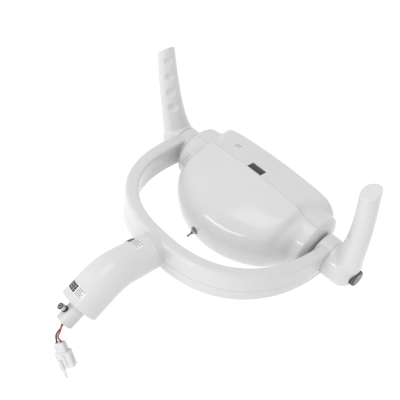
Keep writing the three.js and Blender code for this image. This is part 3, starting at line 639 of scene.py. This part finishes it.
def make_connector():
    """The plug's housing: collar, body with its rib and tongue, mouth, side slots and bores."""
    body_top = COLLAR_LENGTH
    body_end = COLLAR_LENGTH + BODY_LENGTH
    half = BODY_THICKNESS / 2

    def part(name, middle, width, y0, y1, z0, z1):
        return block(name, (middle - width / 2, y0, z0), (middle + width / 2, y1, z1), CONNECTOR)

    collar_half = COLLAR_THICKNESS / 2
    housing = part("connector_body", 0, BODY_WIDTH, -half, half, body_top, body_end)
    collar_rings = []
    for z, share in ((0, 0.8), (2.2, 0.97), (4, 1), (body_top + 1, 1)):
        w, h = share * COLLAR_WIDTH / 2, share * collar_half
        collar_rings.append([(w, -h, z), (w, h, z), (-w, h, z), (-w, -h, z)])
    collar = loft("collar", collar_rings, CONNECTOR)
    rib = part("rib", 0, 4, half - 1, half + 0.6, body_top + 3, body_end - 3)
    tongue = part("tongue", TONGUE_X, TONGUE_WIDTH, half - 0.8, half + 1.2, body_end - 12, body_end)
    carve(housing, collar, rib, tongue, operation="UNION")
    strip = []
    for step in range(9):
        reach = step / 8
        width = mix(TONGUE_WIDTH, 0.55 * TONGUE_WIDTH, reach) / 2
        depth = mix(1.0, 0.7, reach)
        z = body_end - 1 + (TONGUE_REACH + 1) * reach
        y = half + 0.2
        corners = ((-width, -depth), (width, -depth), (width, depth), (-width, depth))
        strip.append([(TONGUE_X + 0.4 * reach + a, y + b, z) for a, b in corners])
    tip = loft("tongue_tip", strip, CONNECTOR)
    carve(housing, tip, operation="UNION")
    mouth = part("mouth", 0, BODY_WIDTH - 3.2, -half + 1.5, half - 1.5, body_end - 6, body_end + 1)
    side_slots = [
        part("slot", side * BODY_WIDTH / 2, 1.2, -1.6, 1.6, body_top + 5, body_end - 4)
        for side in (-1, 1)
    ]
    bores = [
        rounded_rod("bore", 1.5, -1, body_end - 5, "Z", terminal_place(side), 0.1, 24)
        for side in (-1, 1)
    ]
    carve(housing, mouth, *side_slots, *bores)
    return finish(housing, "spigot", "nylon", ["connector_housing"], bevel=0.45)


WIRE_SIDES = {"red": 1, "black": -1}
wires = {colour: make_wire(colour, side) for colour, side in WIRE_SIDES.items()}
connector = make_connector()

for colour, side in WIRE_SIDES.items():
    pin_top = COLLAR_LENGTH + 3.6
    pin_end = COLLAR_LENGTH + BODY_LENGTH - 2
    pin = tube(f"pin_{colour}", 1.1, 2.05, pin_top, pin_end, "Z", terminal_place(side), 40)
    finish(pin, "spigot", "brass", [f"terminal_{colour}"], bevel=0.15)

# ---------------------------------------------------------------- lamp head shells


def flange_radius(x):
    away = abs(x)
    straight = FLANGE_RADIUS - FLANGE_TAPER * (away - FLANGE_START_X)
    if away <= FLANGE_ROUND_X:
        return straight
    turn = min(1, (away - FLANGE_ROUND_X) / (HEAD_END_X - FLANGE_ROUND_X))
    return NECK_RADIUS + (straight - NECK_RADIUS) * math.sqrt(1 - turn ** 2)


def crown(x):
    away = abs(x)
    if away <= SHOULDER_X:
        return CROWN - CROWN_FALL * (away / SHOULDER_X) ** 2
    return mix(CROWN - CROWN_FALL, flange_radius(x), smooth_step(away, SHOULDER_X, FLANGE_START_X))


def rear_radius(x, across, up, below):
    away = abs(x)
    reach = REAR_DEPTH * math.sqrt(max(0, 1 - (away / REAR_HALF_WIDTH) ** 2))
    rounding = smooth_step(away, 70, FLANGE_START_X + 12)
    depth = smooth_max(reach, flange_radius(x) if away > FLANGE_START_X else 30, 4)
    power = mix(np.where(below, 2.3, 3.1), 2, rounding)
    height = np.where(below, mix(BELLY, flange_radius(x), rounding), crown(x))
    return 1 / ((across / depth) ** power + (up / height) ** power) ** (1 / power)


def front_height(x, y):
    away = abs(x)
    start = SHOULDER_X - 6
    height = CROWN - CROWN_FALL * min(1, away / SHOULDER_X) ** 2 - FRONT_SLOPE * y
    if away <= start:
        return height
    end = mix(SHOULDER_X + 5, FRONT_END_X, np.minimum(1, y / FRONT_Y))
    rest = np.maximum(0, 1 - ((away - start) / (end - start)) ** FRONT_END_POWER)
    return height * rest ** (1 / FRONT_END_POWER)


def front_radius(x, across, up):
    """The outermost place, along each direction, that is under the front's sloping top."""
    low = np.zeros_like(across)
    found = np.zeros(across.shape, dtype=bool)
    for radius in np.arange(90, 0, -1.5):
        inside = up * radius <= front_height(x, across * radius)
        low = np.where(inside & ~found, radius, low)
        found |= inside
    high = low + 1.5
    for _ in range(18):
        middle = (low + high) / 2
        inside = up * middle <= front_height(x, across * middle)
        low = np.where(inside, middle, low)
        high = np.where(inside, high, middle)
    return smooth_min(low, FRONT_Y / np.maximum(across, 1e-6), 2)


def head_radii(x, turns):
    """Distance from the tilt axis to the skin, by the angle from +Z towards the lens."""
    across, up = np.sin(turns), np.abs(np.cos(turns))
    rear = rear_radius(x, np.abs(across), up, np.cos(turns) < 0)
    reach = FLANGE_REACH * (1 - smooth_step(abs(x), FLANGE_ROUND_X, HEAD_END_X))
    collar = np.hypot(flange_radius(x) * up, (flange_radius(x) + reach) * across)
    if abs(x) > FRONT_END_X - 0.5:
        front = collar
    else:
        front = front_radius(x, np.maximum(across, 0), up)
        if abs(x) >= SHOULDER_X:
            front = smooth_max(front, collar, 1.5) - 0.4
    return np.where(across < 0, rear, front)


def blur(rows, sigma, axis, wrap):
    """Softens creases by a running Gaussian."""
    reach = int(3 * sigma) + 1
    weights = np.exp(-0.5 * (np.arange(-reach, reach + 1) / sigma) ** 2)
    weights /= weights.sum()
    pad = [(0, 0), (0, 0)]
    pad[axis] = (reach, reach)
    padded = np.pad(rows, pad, mode="wrap" if wrap else "edge")
    return np.apply_along_axis(lambda line: np.convolve(line, weights, "valid"), axis, padded)


def head_skin(inset, step, sides, soften):
    stations = np.arange(-HEAD_END_X, HEAD_END_X + step / 2, step)
    turns = (np.arange(sides) + 0.5) * 2 * math.pi / sides
    turns = np.where(turns > math.pi, turns - 2 * math.pi, turns)
    radii = np.array([head_radii(x, turns) for x in stations])
    body = np.abs(stations) < FLANGE_ROUND_X
    softened = blur(blur(radii, soften / step, 0, False), soften / 45 * sides / 6.28, 1, True)
    radii[body] = softened[body]
    radii = radii - inset
    return stations, turns, radii


def head_solid(name, inset=0.0, step=0.75, sides=288, soften=1.7, reach=HEAD_END_X):
    stations, turns, radii = head_skin(inset, step, sides, soften)
    kept = np.abs(stations) <= reach
    rings = [
        np.stack([np.full(sides, x), row * np.sin(turns), row * np.cos(turns)], axis=1)
        for x, row in zip(stations[kept], radii[kept])
    ]
    return loft(name, rings, HEAD)


def front_place(x, y):
    """The place on the sloping top of the front shell, x along and y across it."""
    height = front_height(x, np.array(float(y)))
    slope = Matrix.Rotation(-math.atan(FRONT_SLOPE), 4, "X")
    return HEAD @ Matrix.Translation((x, y, float(height))) @ slope


def stadium_ring(half_width, half_height, y, steps=24):
    """A flat outline with round ends, in X and Z."""
    straight = half_width - half_height
    ring = []
    for side, start in ((1, -90), (-1, 90)):
        for step in range(steps + 1):
            turn = math.radians(start + 180 * step / steps)
            ring.append((side * straight + half_height * math.cos(turn), y, half_height * math.sin(turn)))
    return ring


def stadium(name, half_width, half_height, faces, place):
    rings = [stadium_ring(half_width, half_height, y) for y in faces]
    return loft(name, rings, place)


def pane(name, half_width, half_height, depths, place):
    """A rectangular plate, or the hole for it, in the sloping top of the front shell."""
    low, high = depths
    return block(name, (-half_width, -half_height, low), (half_width, half_height, high), place)


WINDOW = front_place(0, WINDOW_Y)
INDICATOR = front_place(INDICATOR_X, INDICATOR_Y)


def make_head():
    shell = head_solid("head")
    hollow = head_solid("hollow", SHELL_WALL, 3, 72, 3, 80)
    carve(shell, hollow)
    ends = (-AXLE_BORE_REACH, AXLE_BORE_REACH)
    carve(shell, rounded_rod("bore", AXLE_RADIUS + GAP, *ends, "X", HEAD, 0.1, 32))
    rear = copy_of(shell, "rear_shell_skin")
    front = shell
    front.name = "front_shell_skin"
    halve(front, (0, SEAM_Y + GAP / 2, 0), (0, -1, 0), HEAD)
    halve(rear, (0, SEAM_Y - GAP / 2, 0), (0, 1, 0), HEAD)
    band = BEZEL_BAND + GAP
    lens_hole = stadium("lens_hole", LENS_HALF_WIDTH + band, LENS_HALF_HEIGHT + band, (38, 60), HEAD)
    window_hole = pane("window_hole", WINDOW_HALF_WIDTH + GAP, WINDOW_HALF_HEIGHT + GAP, (-8, 6), WINDOW)
    indicator_side = INDICATOR_HALF_SIDE + GAP
    indicator_hole = pane("indicator_hole", indicator_side, indicator_side, (-8, 6), INDICATOR)
    carve(front, lens_hole, window_hole, indicator_hole)
    toggle_hole = rounded_rod("toggle_hole", TOGGLE_BUSH_RADIUS + GAP, -15, 15, "Y", TOGGLE, 0.1, 32)
    carve(rear, toggle_hole)
    finish(front, "head", "white_abs", ["front_shell"], angle=40)
    finish(rear, "head", "white_abs", ["rear_shell"], angle=40)


make_head()

# ---------------------------------------------------------------- windows, lens and lamp unit


def make_windows():
    window = pane("sensor_glass", WINDOW_HALF_WIDTH, WINDOW_HALF_HEIGHT, PANE_DEPTHS, WINDOW)
    finish(window, "head", "dark_window", ["sensor_window"], bevel=0.5)
    pip = pane("indicator_pip", INDICATOR_HALF_SIDE, INDICATOR_HALF_SIDE, PANE_DEPTHS, INDICATOR)
    finish(pip, "head", "indicator_grey", ["indicator_window"], bevel=0.5)


def make_lens():
    outer = (LENS_HALF_WIDTH + BEZEL_BAND, LENS_HALF_HEIGHT + BEZEL_BAND)
    bezel = stadium("lens_frame", *outer, BEZEL_FACES, HEAD)
    carve(bezel, stadium("hole", LENS_HALF_WIDTH, LENS_HALF_HEIGHT, (40, 50), HEAD))
    finish(bezel, "head", "grey_abs", ["lens_bezel"], bevel=0.8)
    lens = stadium("lens_plate", LENS_HALF_WIDTH - GAP, LENS_HALF_HEIGHT - GAP, LENS_FACES, HEAD)
    finish(lens, "head", "clear_lens", ["lens"], bevel=0.5)


def make_lamps():
    profile = [(0, 14.2), (4, 14.2)]
    for step in range(1, 10):
        reach = step / 9
        profile.append((4 + 6.4 * reach ** 0.7, 14.2 + 21 * reach))
    profile += [(10.4, 36), (9.6, 36), (7, 34.4), (3.5, 33.6), (0, 33.4)]
    spots = [(x, z) for z in LAMP_ROWS for x in LAMP_COLUMNS]
    for number, (x, z) in enumerate(spots, 1):
        place = HEAD @ Matrix.Translation((x, 0, z))
        cup = turned(f"collimator_{number}", profile, "Y", place, 48)
        finish(cup, "head", "clear_lens", [f"led_collimator_{number}"])
        chip = rounded_rod(f"led_chip_{number}", 2.2, 13.9, 14.9, "Y", place, 0.3, 24)
        finish(chip, "head", "white_board")


make_windows()
make_lens()
make_lamps()

# ---------------------------------------------------------------- grips


def grip_section(z):
    """Where the grip's middle lies inwards and towards the lens, its radius and its flare."""
    rise = min(1, max(0, z / GRIP_TOP))
    foot = math.exp(-max(0, z) / GRIP_FOOT_HEIGHT)
    inward = GRIP_FOOT_SHIFT * foot - GRIP_BOW * math.sin(math.pi * rise)
    radius = GRIP_TIP_RADIUS + GRIP_TAPER * (1 - rise) + GRIP_FOOT_SWELL * foot
    return inward, 2.5 * foot, radius, GRIP_FLARE * (1 - rise ** 2)


def trim_inside(grip, side, end_x):
    """Cuts away what lies nearer the head than end_x, at the grip's foot."""
    low, high = sorted((side * 100, side * end_x))
    carve(grip, block("trim", (low, -40, -40), (high, 40, 80), HEAD))


def make_grip(name, side, round_from, end_x, scallop_turn, slope, cutters):
    """A grip with its hub; side is -1 or 1, and slope points out of the grip's cut top."""
    turns = np.arange(GRIP_SIDES) * 2 * math.pi / GRIP_SIDES
    flared = np.maximum(0, np.cos(turns - FLARE_TURN)) ** 2
    rings = []
    for z in [-14, -12, -9, -5, *np.arange(0, GRIP_TOP + 16, 4)]:
        inward, y, radius, flare = grip_section(z)
        shrink = math.sqrt(1 - (z / 20) ** 2) if z < 0 else 1
        size = shrink * (radius + flare * flared)
        x = side * (GRIP_X - inward - size * np.cos(turns))
        rings.append(np.stack([x, y + size * np.sin(turns), np.full(GRIP_SIDES, float(z))], axis=1))
    grip = loft(name, rings, HEAD)
    start = HUB_OUTER_X + 0.12
    radius = HUB_RADIUS + 0.2
    profile = [(0, start - 5), (radius, start - 5)]
    for step in range(13):
        turn = step / 12 * HUB_END_TURN
        outward = math.sin(turn) / math.sin(HUB_END_TURN)
        profile.append((radius - 14 * (1 - math.cos(turn)), mix(round_from, end_x, outward)))
    profile.append((0, end_x))
    hub_profile = [(away, side * along) for away, along in profile]
    merge(grip, turned("hub", hub_profile, "X", HEAD, 96))
    remesh(grip, 1.1, 4)
    direction = Vector((-side * math.cos(scallop_turn), math.sin(scallop_turn), 0))
    across = Vector((0, 0, 1)).cross(direction)
    ball = [(0, -1)]
    ball += [(math.sin(math.pi * s / 16), -math.cos(math.pi * s / 16)) for s in range(1, 16)]
    ball.append((0, 1))
    for k in range(SCALLOP_COUNT):
        z = GRIP_TOP - 12 - k * SCALLOP_PITCH
        inward, y, radius, _ = grip_section(z)
        middle = Vector((side * (GRIP_X - inward), y, z)) + direction * (radius + 6.6 - SCALLOP_DEPTH)
        place = HEAD @ basis(direction * 7, across * 14, Vector((0, 0, 9)), middle)
        carve(grip, turned("scoop", ball, "Z", place, 32))
    normal = Vector(slope).normalized()
    halve(grip, (side * GRIP_X, 0, GRIP_TOP), normal, HEAD)
    trim_inside(grip, side, 135)
    remesh(grip, 0.9, 12)
    trim_inside(grip, side, start)
    carve(grip, *cutters)
    return grip


def make_grips():
    recess = rounded_rod("recess", KNOB_RADIUS + 1.2, -0.6, 20, "X", KNOB, 0.4, 64)
    cavity = rounded_rod("cavity", 6.6, -7.4, 1, "X", KNOB, 0.2, 48)
    sockets = {}
    for side in (-1, 1):
        ends = sorted((side * AXLE_BORE_REACH, side * AXLE_SOCKET_END))
        sockets[side] = rounded_rod("socket", AXLE_RADIUS + GAP, *ends, "X", HEAD, 0.2, 32)
    left_slope = (-0.95, 0.3, 1)
    right_slope = (-0.42, -0.33, 1)
    left_ends = (LEFT_HUB_ROUND_X, LEFT_HUB_END_X)
    right_ends = (RIGHT_HUB_ROUND_X, RIGHT_HUB_END_X)
    right_cutters = [sockets[1], recess, cavity]
    left = make_grip("grip_left_skin", -1, *left_ends, SCALLOP_TURN, left_slope, [sockets[-1]])
    right = make_grip("grip_right_skin", 1, *right_ends, -SCALLOP_TURN, right_slope, right_cutters)
    finish(left, "head", "white_abs", ["grip_left"], angle=50)
    finish(right, "head", "white_abs", ["grip_right"], angle=50)


make_grips()

# ---------------------------------------------------------------- dimmer knob


def make_knob():
    rings = []
    profile = [(0.0, -0.3), (0.94, -0.3), (0.985, 0.1), (1.0, 0.6), (1.0, KNOB_LENGTH - 1.6)]
    profile += [(0.985, KNOB_LENGTH - 1.0), (0.94, KNOB_LENGTH - 0.6), (0.88, KNOB_LENGTH - 0.45)]
    profile += [(0.8, KNOB_LENGTH - 0.9), (0.0, KNOB_LENGTH - 0.9)]
    turns = np.arange(KNOB_SIDES) * 2 * math.pi / KNOB_SIDES
    for share, along in profile:
        ribbed = 0.1 < along < KNOB_LENGTH - 1 and share > 0.9
        ribs = KNOB_RIB_DEPTH * np.cos(KNOB_RIB_COUNT * turns) if ribbed else 0
        radius = np.maximum(KNOB_RADIUS * share + ribs - KNOB_RIB_DEPTH, 0)
        ring = [np.full(KNOB_SIDES, along), radius * np.cos(turns), radius * np.sin(turns)]
        rings.append(np.stack(ring, axis=1))
    knob = loft("knob_grip", rings, KNOB)
    finish(knob, "dimmer_knob", "grey_abs", ["intensity_knob"], angle=45)
    cap_faces = (KNOB_LENGTH - 0.95, KNOB_LENGTH - 0.45)
    # The cap's lighter grey is painted light on the knob's face; the knob's side keeps the darker grey as its
    # shaded side.
    cap = rounded_rod("knob_cap", 0.78 * KNOB_RADIUS, *cap_faces, "X", KNOB, 0.2, 64)
    finish(cap, "dimmer_knob", "knob_face")
    mark_low, mark_high = (KNOB_LENGTH - 0.5, -0.5, 2.6), (KNOB_LENGTH - 0.35, 0.5, 6.6)
    mark = block("knob_mark", mark_low, mark_high, KNOB)
    finish(mark, "dimmer_knob", "white_abs", bevel=0.1)


make_knob()

# ---------------------------------------------------------------- toggle switch


def hexagon(name, inner, outer, start, end, axis, place):
    nut = turned(name, [(0, start), (outer, start), (outer, end), (0, end)], axis, place, 6)
    crown_profile = [(0, start - 0.05), (outer * 0.9, start - 0.05), (outer, start + 0.5)]
    crown_profile += [(outer, end - 0.5), (outer * 0.9, end + 0.05), (0, end + 0.05)]
    carve(nut, turned("crown", crown_profile, axis, place, 64), operation="INTERSECT")
    return carve(nut, rounded_rod("hole", inner, start - 1, end + 1, axis, place, 0.05, 40))


def threaded(name, radius, bore, start, end, pitch, axis, place):
    """A rod, or a bush with a bore, with fine rings like a thread."""
    profile = [(bore, start)]
    rings = int((end - start) / pitch)
    for ring in range(rings):
        low = start + ring * pitch
        profile += [(radius - 0.25, low), (radius, low + 0.5 * pitch)]
    profile += [(radius - 0.25, end), (bore, end)]
    return turned(name, profile, axis, place, 48)


def make_toggle():
    bushing = threaded("toggle_bush", TOGGLE_BUSH_RADIUS, 1.9, -6, 9, 0.7, "Y", TOGGLE)
    finish(bushing, "head", "steel", ["toggle_bushing"], angle=25)
    nut = hexagon("toggle_hex", TOGGLE_BUSH_RADIUS + GAP, 5.2, -2.6, -0.6, "Y", TOGGLE)
    finish(nut, "head", "dark_steel", ["toggle_nut"], angle=25)
    seat = tube("toggle_seat", 3.1, 5.0, -0.55, 0.4, "Y", TOGGLE, 48)
    finish(seat, "head", "rubber_black")
    profile = [(0, -14.0), (0.9, -13.85), (1.4, -13.3), (1.6, -12.4), (1.45, -11.4), (1.2, -10.5)]
    profile += [(1.2, -9), (1.4, -7.4), (1.35, -6.95), (0.75, -6.7), (0.7, -3), (0, -3)]
    lever = turned("toggle_stick", profile, "Y", TOGGLE, 40)
    finish(lever, "toggle", "dark_steel", ["toggle_lever"])


make_toggle()

# ---------------------------------------------------------------- yoke


def yoke_centre(turn):
    cosine = math.cos(turn)
    along = math.copysign(abs(cosine) ** (2 / YOKE_POWER), cosine)
    back = max(0, math.sin(turn)) ** (2 / YOKE_POWER)
    x = (YOKE_HALF_WIDTH + YOKE_THICKNESS / 2) * along
    return Vector((x, YOKE_ARM_Y - (YOKE_DEPTH + YOKE_THICKNESS / 2) * back, 0))


def rounded_section(width, height, corner, steps):
    section = []
    w, h = width / 2 - corner, height / 2 - corner
    for sx, sz, start in ((1, 1, 0), (-1, 1, 90), (-1, -1, 180), (1, -1, 270)):
        for k in range(steps + 1):
            turn = math.radians(start + 90 * k / steps)
            section.append((sx * w + corner * math.cos(turn), sz * h + corner * math.sin(turn)))
    return section


def make_yoke():
    centres = [yoke_centre(math.pi * k / 160) for k in range(161)]
    ends = [Vector((centres[end].x, YOKE_END_Y, 0)) for end in (0, -1)]
    centres = [ends[0], *centres, ends[1]]
    section = rounded_section(YOKE_THICKNESS, YOKE_HEIGHT, YOKE_CORNER, 6)
    rings = []
    for k, centre in enumerate(centres):
        along = (centres[min(len(centres) - 1, k + 1)] - centres[max(0, k - 1)]).normalized()
        side = Vector((-along.y, along.x, 0))
        rings.append([centre + side * w + Vector((0, 0, z)) for w, z in section])
    yoke = loft("yoke", rings, YOKE)
    hubs = []
    for side in (-1, 1):
        start, end = sorted((side * HUB_INNER_X, side * HUB_OUTER_X))
        hubs.append(rounded_rod("hub", HUB_RADIUS + 0.3, start, end, "X", YOKE, 0.5, 96))
    boss_place = YOKE @ Matrix.Translation((0, 0, ELBOW_AXIS_HEIGHT))
    end_y = YOKE_BACK_Y - BOSS_LENGTH
    boss_profile = [(0, end_y - 0.3), (ELBOW_RADIUS_YOKE + 0.2, end_y - 0.3)]
    boss_profile += [(YOKE_HEIGHT / 2 - 0.6, YOKE_BACK_Y + 8), (0, YOKE_BACK_Y + 8)]
    boss = turned("boss", boss_profile, "Y", boss_place, 96)
    merge(yoke, *hubs, boss)
    remesh(yoke, 1.1, 5)
    for side in (-1, 1):
        start, end = sorted((side * HUB_OUTER_X, side * 150))
        carve(yoke, block("trim", (start, -80, -30), (end, 30, 30), YOKE))
    carve(yoke, rounded_rod("bore", YOKE_BORE, -150, 150, "X", YOKE, 0.1, 48))
    carve(yoke, block("boss_trim", (-40, end_y - 10, -40), (40, end_y, 40), YOKE))
    lower = copy_of(yoke, "yoke_lower_skin")
    upper = yoke
    upper.name = "yoke_upper_skin"
    halve(upper, (0, 0, YOKE_SEAM_Z + GAP / 2), (0, 0, -1), YOKE)
    halve(lower, (0, 0, YOKE_SEAM_Z - GAP / 2), (0, 0, 1), YOKE)
    for turn in YOKE_SCREW_TURNS:
        centre = yoke_centre(turn)
        sink_place = YOKE @ Matrix.Translation((centre.x, centre.y, 0))
        sink_top = YOKE_SCREW_SINK - YOKE_HEIGHT / 2
        carve(lower, rounded_rod("sink", 3.3, -30, sink_top, "Z", sink_place, 0.05, 32))
    finish(upper, "yoke", "white_abs", ["yoke_upper_shell"], angle=50)
    finish(lower, "yoke", "white_abs", ["yoke_lower_shell"], angle=50)


def make_yoke_mark():
    """A small raised horseshoe near the right hub, where the yoke's cover unclips."""
    centre = Vector((130.5, -33, YOKE_HEIGHT / 2 - 0.15))
    rings = []
    for k in range(25):
        turn = math.radians(-90 + 180 * k / 24)
        middle = centre + Vector((1.7 * math.sin(turn), -3.2 * math.cos(turn), 0))
        out = Vector((math.sin(turn), -math.cos(turn), 0))
        corners = ((-0.3, 0), (0.3, 0), (0.25, 0.45), (-0.25, 0.45))
        rings.append([middle + out * a + Vector((0, 0, b)) for a, b in corners])
    mark = loft("yoke_mark", rings, YOKE)
    finish(mark, "yoke", "indicator_grey", bevel=0.05)


make_yoke()
make_yoke_mark()

# ---------------------------------------------------------------- elbow and its labels

CELL_COLUMNS = 4
CELL_ROWS = 3
RULE_SHARES = (0.9, 0.7, 0.85, 0.6, 0.9)  # how far each fine rule of a label reaches


def elbow_line(steps):
    """The elbow's middle line in the yoke's frame, as (y, z, turn) from the yoke to its end."""
    drop = ELBOW_BEND_RADIUS * (1 - math.cos(ELBOW_BEND))
    run = ELBOW_BEND_RADIUS * math.sin(ELBOW_BEND)
    straight_drop = ELBOW_AXIS_HEIGHT - drop - SHOULDER_Z
    bend_y = SHOULDER_Y + straight_drop / math.tan(ELBOW_BEND) + run
    start_y = YOKE_BACK_Y - BOSS_LENGTH - GAP
    line = [(start_y, ELBOW_AXIS_HEIGHT, 0), ((start_y + bend_y) / 2, ELBOW_AXIS_HEIGHT, 0)]
    for k in range(steps + 1):
        turn = ELBOW_BEND * k / steps
        y = bend_y - ELBOW_BEND_RADIUS * math.sin(turn)
        line.append((y, ELBOW_AXIS_HEIGHT - ELBOW_BEND_RADIUS * (1 - math.cos(turn)), turn))
    line.append((SHOULDER_Y, SHOULDER_Z, ELBOW_BEND))
    return line


def elbow_ring(y, z, turn, radius, sides=96):
    turns = np.arange(sides) * 2 * math.pi / sides
    lift = radius * np.sin(turns)
    return np.stack([radius * np.cos(turns), y - lift * math.sin(turn), z + lift * math.cos(turn)], axis=1)


def make_elbow():
    line = elbow_line(24)
    rings = []
    for index, (y, z, turn) in enumerate(line):
        radius = mix(ELBOW_RADIUS_YOKE, ELBOW_RADIUS_END, index / (len(line) - 1))
        rings.append(elbow_ring(y, z, turn, radius))
    elbow = loft("elbow_skin", rings, YOKE)
    socket = rounded_rod("socket", 13.3, -1, 12, "Y", SPIGOT, 0.1, 64)
    carve(elbow, socket)
    recess = tube("recess", 17.5, 18.1, -1, 0.35, "Y", SPIGOT, 64)
    carve(elbow, recess)
    finish(elbow, "yoke", "white_abs", ["elbow_shell"], bevel=0.9, angle=50)


def label_patch(name, place, radius, along, turns, material, lift):
    """A thin patch on a round surface about the local Y axis, from one angle to another."""
    rings = []
    for y in np.linspace(*along, 9):
        angles = np.radians(np.linspace(*turns, 25))
        spokes = [np.array((math.sin(angle), 0, math.cos(angle))) for angle in angles]
        outer = [(radius + lift) * spoke + (0, y, 0) for spoke in spokes]
        inner = [(radius - 0.3) * spoke + (0, y, 0) for spoke in reversed(spokes)]
        rings.append([*outer, *inner])
    patch = loft(name, rings, place)
    return finish(patch, "yoke", material, angle=40)


def make_label(name, place, radius, along, turns, dark_share):
    """A small plain label: a dark block at one end and fine rules beside it, with no lettering."""
    low, high = along
    start, end = turns
    label_patch(f"{name}_paper", place, radius, along, turns, "label_paper", 0.1)
    block_end = mix(start, end, dark_share)
    edge = 0.08 * (high - low)
    for column in range(CELL_COLUMNS):
        for row in range(CELL_ROWS):
            y0 = mix(low + edge, high - edge, row / CELL_ROWS) + 0.12
            y1 = mix(low + edge, high - edge, (row + 1) / CELL_ROWS) - 0.12
            turn0 = mix(start + 1, block_end, column / CELL_COLUMNS) + 0.5
            turn1 = mix(start + 1, block_end, (column + 1) / CELL_COLUMNS) - 0.5
            cell = f"{name}_cell_{column + 1}_{row + 1}"
            label_patch(cell, place, radius, (y0, y1), (turn0, turn1), "label_ink", 0.16)
    for rule, share in enumerate(RULE_SHARES):
        y = mix(low + 1.6, high - 1.6, rule / (len(RULE_SHARES) - 1))
        across = (y - 0.25, y + 0.25)
        rule_turns = (block_end + 3, mix(block_end, end, share))
        label_patch(f"{name}_rule_{rule + 1}", place, radius, across, rule_turns, "label_ink", 0.15)


make_elbow()
make_label("label_end", SPIGOT, ELBOW_RADIUS_END + 0.02, (8.5, 19.5), (-44, 24), 0.55)
yoke_label_place = YOKE @ Matrix.Translation((0, 0, ELBOW_AXIS_HEIGHT))
make_label("label_joint", yoke_label_place, ELBOW_RADIUS_YOKE + 0.15, (-213, -202), (-66, 14), 0.5)

# ---------------------------------------------------------------- spigot


def make_spigot():
    profile = [(SPIGOT_BORE, -SPIGOT_LENGTH + 0.6), (SPIGOT_BORE + 0.6, -SPIGOT_LENGTH)]
    profile += [(SPIGOT_RADIUS - 1.4, -SPIGOT_LENGTH), (SPIGOT_RADIUS - 0.4, -SPIGOT_LENGTH + 0.4)]
    profile += [(SPIGOT_RADIUS, -SPIGOT_LENGTH + 1.4), (SPIGOT_RADIUS, 24), (SPIGOT_BORE, 24)]
    spigot = turned("spigot_skin", profile, "Y", SPIGOT, 96)
    carve(spigot, rounded_rod("hole", 2.4, 5, 14, "Z", SCREW, 0.05, 32))
    finish(spigot, "spigot", "spigot_steel", ["spigot_tube"])
    nut = hexagon("screw_hex", 2.4, 4, 11.3, 14, "Z", SCREW)
    finish(nut, "spigot", "black_steel", ["locking_nut"], angle=25)
    stud = threaded("screw_stud", 2.1, 0.0, 8.8, 14.6, 0.6, "Z", SCREW)
    finish(stud, "spigot", "black_steel", ["locking_screw"], angle=25)
    profile = [(0, 14.3), (3.5, 14.3), (3.8, 14.6), (3.8, 19.8), (3.7, 20.2), (3.4, 20.5), (0, 20.5)]
    head = turned("screw_head", profile, "Z", SCREW, 64)
    carve(head, rounded_rod("socket", 2.1, 17, 22, "Z", SCREW, 0.05, 6))
    finish(head, "spigot", "steel", angle=25)
    for number, start in enumerate((19.7, 14.3), 1):
        rim = tube(f"screw_rim_{number}", 2.5, 3.88, start, start + 0.9, "Z", SCREW, 64)
        finish(rim, "spigot", "black_steel", bevel=0.15)


make_spigot()

# ---------------------------------------------------------------- materials of the CAD nodes that stay

slot_names = {part["node"]: part["material_slot"] for part in frame["record"]["subparts"]}
for node, piece in frame["nodes"].items():
    for place in piece.material_slots:
        place.material = MATERIALS[slot_names[node]]

# ---------------------------------------------------------------- floor, sky and lights, in metres

FLOOR_HALF_SIDE = 8
FLOOR_DROP = 0.35  # how far it lies below the object
SKY_STRENGTH = 0.96
LIGHT_TARGET = (0, 0.15, -0.02)


def make_floor():
    settings = {"Emission_Color": (1, 1, 1, 1), "Emission_Strength": 0.05}
    material = new_material("floor", (0.94, 0.94, 0.94), 0.9, **settings)
    mesh = bpy.data.meshes.new("floor")
    side = FLOOR_HALF_SIDE
    height = cad_box[0][2] - FLOOR_DROP
    corners = [(x * side, y * side, height) for x, y in ((-1, -1), (1, -1), (1, 1), (-1, 1))]
    mesh.from_pydata(corners, [], [(0, 1, 2, 3)])
    mesh.materials.append(material)
    floor = bpy.data.objects.new("floor", mesh)
    bpy.context.scene.collection.objects.link(floor)


def add_light(name, place, size, power):
    data = bpy.data.lights.new(name, "AREA")
    data.shape = "RECTANGLE"
    data.size, data.size_y = size
    data.energy = power
    light = bpy.data.objects.new(name, data)
    light.location = place
    light.rotation_euler = (Vector(LIGHT_TARGET) - light.location).to_track_quat("-Z", "Y").to_euler()
    bpy.context.scene.collection.objects.link(light)


def make_lighting():
    world = bpy.data.worlds.new("studio")
    world.use_nodes = True
    background = world.node_tree.nodes["Background"]
    background.inputs["Color"].default_value = (1, 1, 1, 1)
    background.inputs["Strength"].default_value = SKY_STRENGTH
    bpy.context.scene.world = world
    add_light("front_strip", (-0.1, -0.95, 0.66), (1.1, 0.16), 3.4)
    add_light("left_fill", (-0.3, -1.25, 0.12), (1.2, 0.7), 3.6)
    add_light("overhead", (0.0, 0.2, 1.5), (0.8, 0.8), 3)
    bpy.context.scene.view_settings.view_transform = "Standard"
    bpy.context.scene.view_settings.look = "None"


make_floor()
make_lighting()
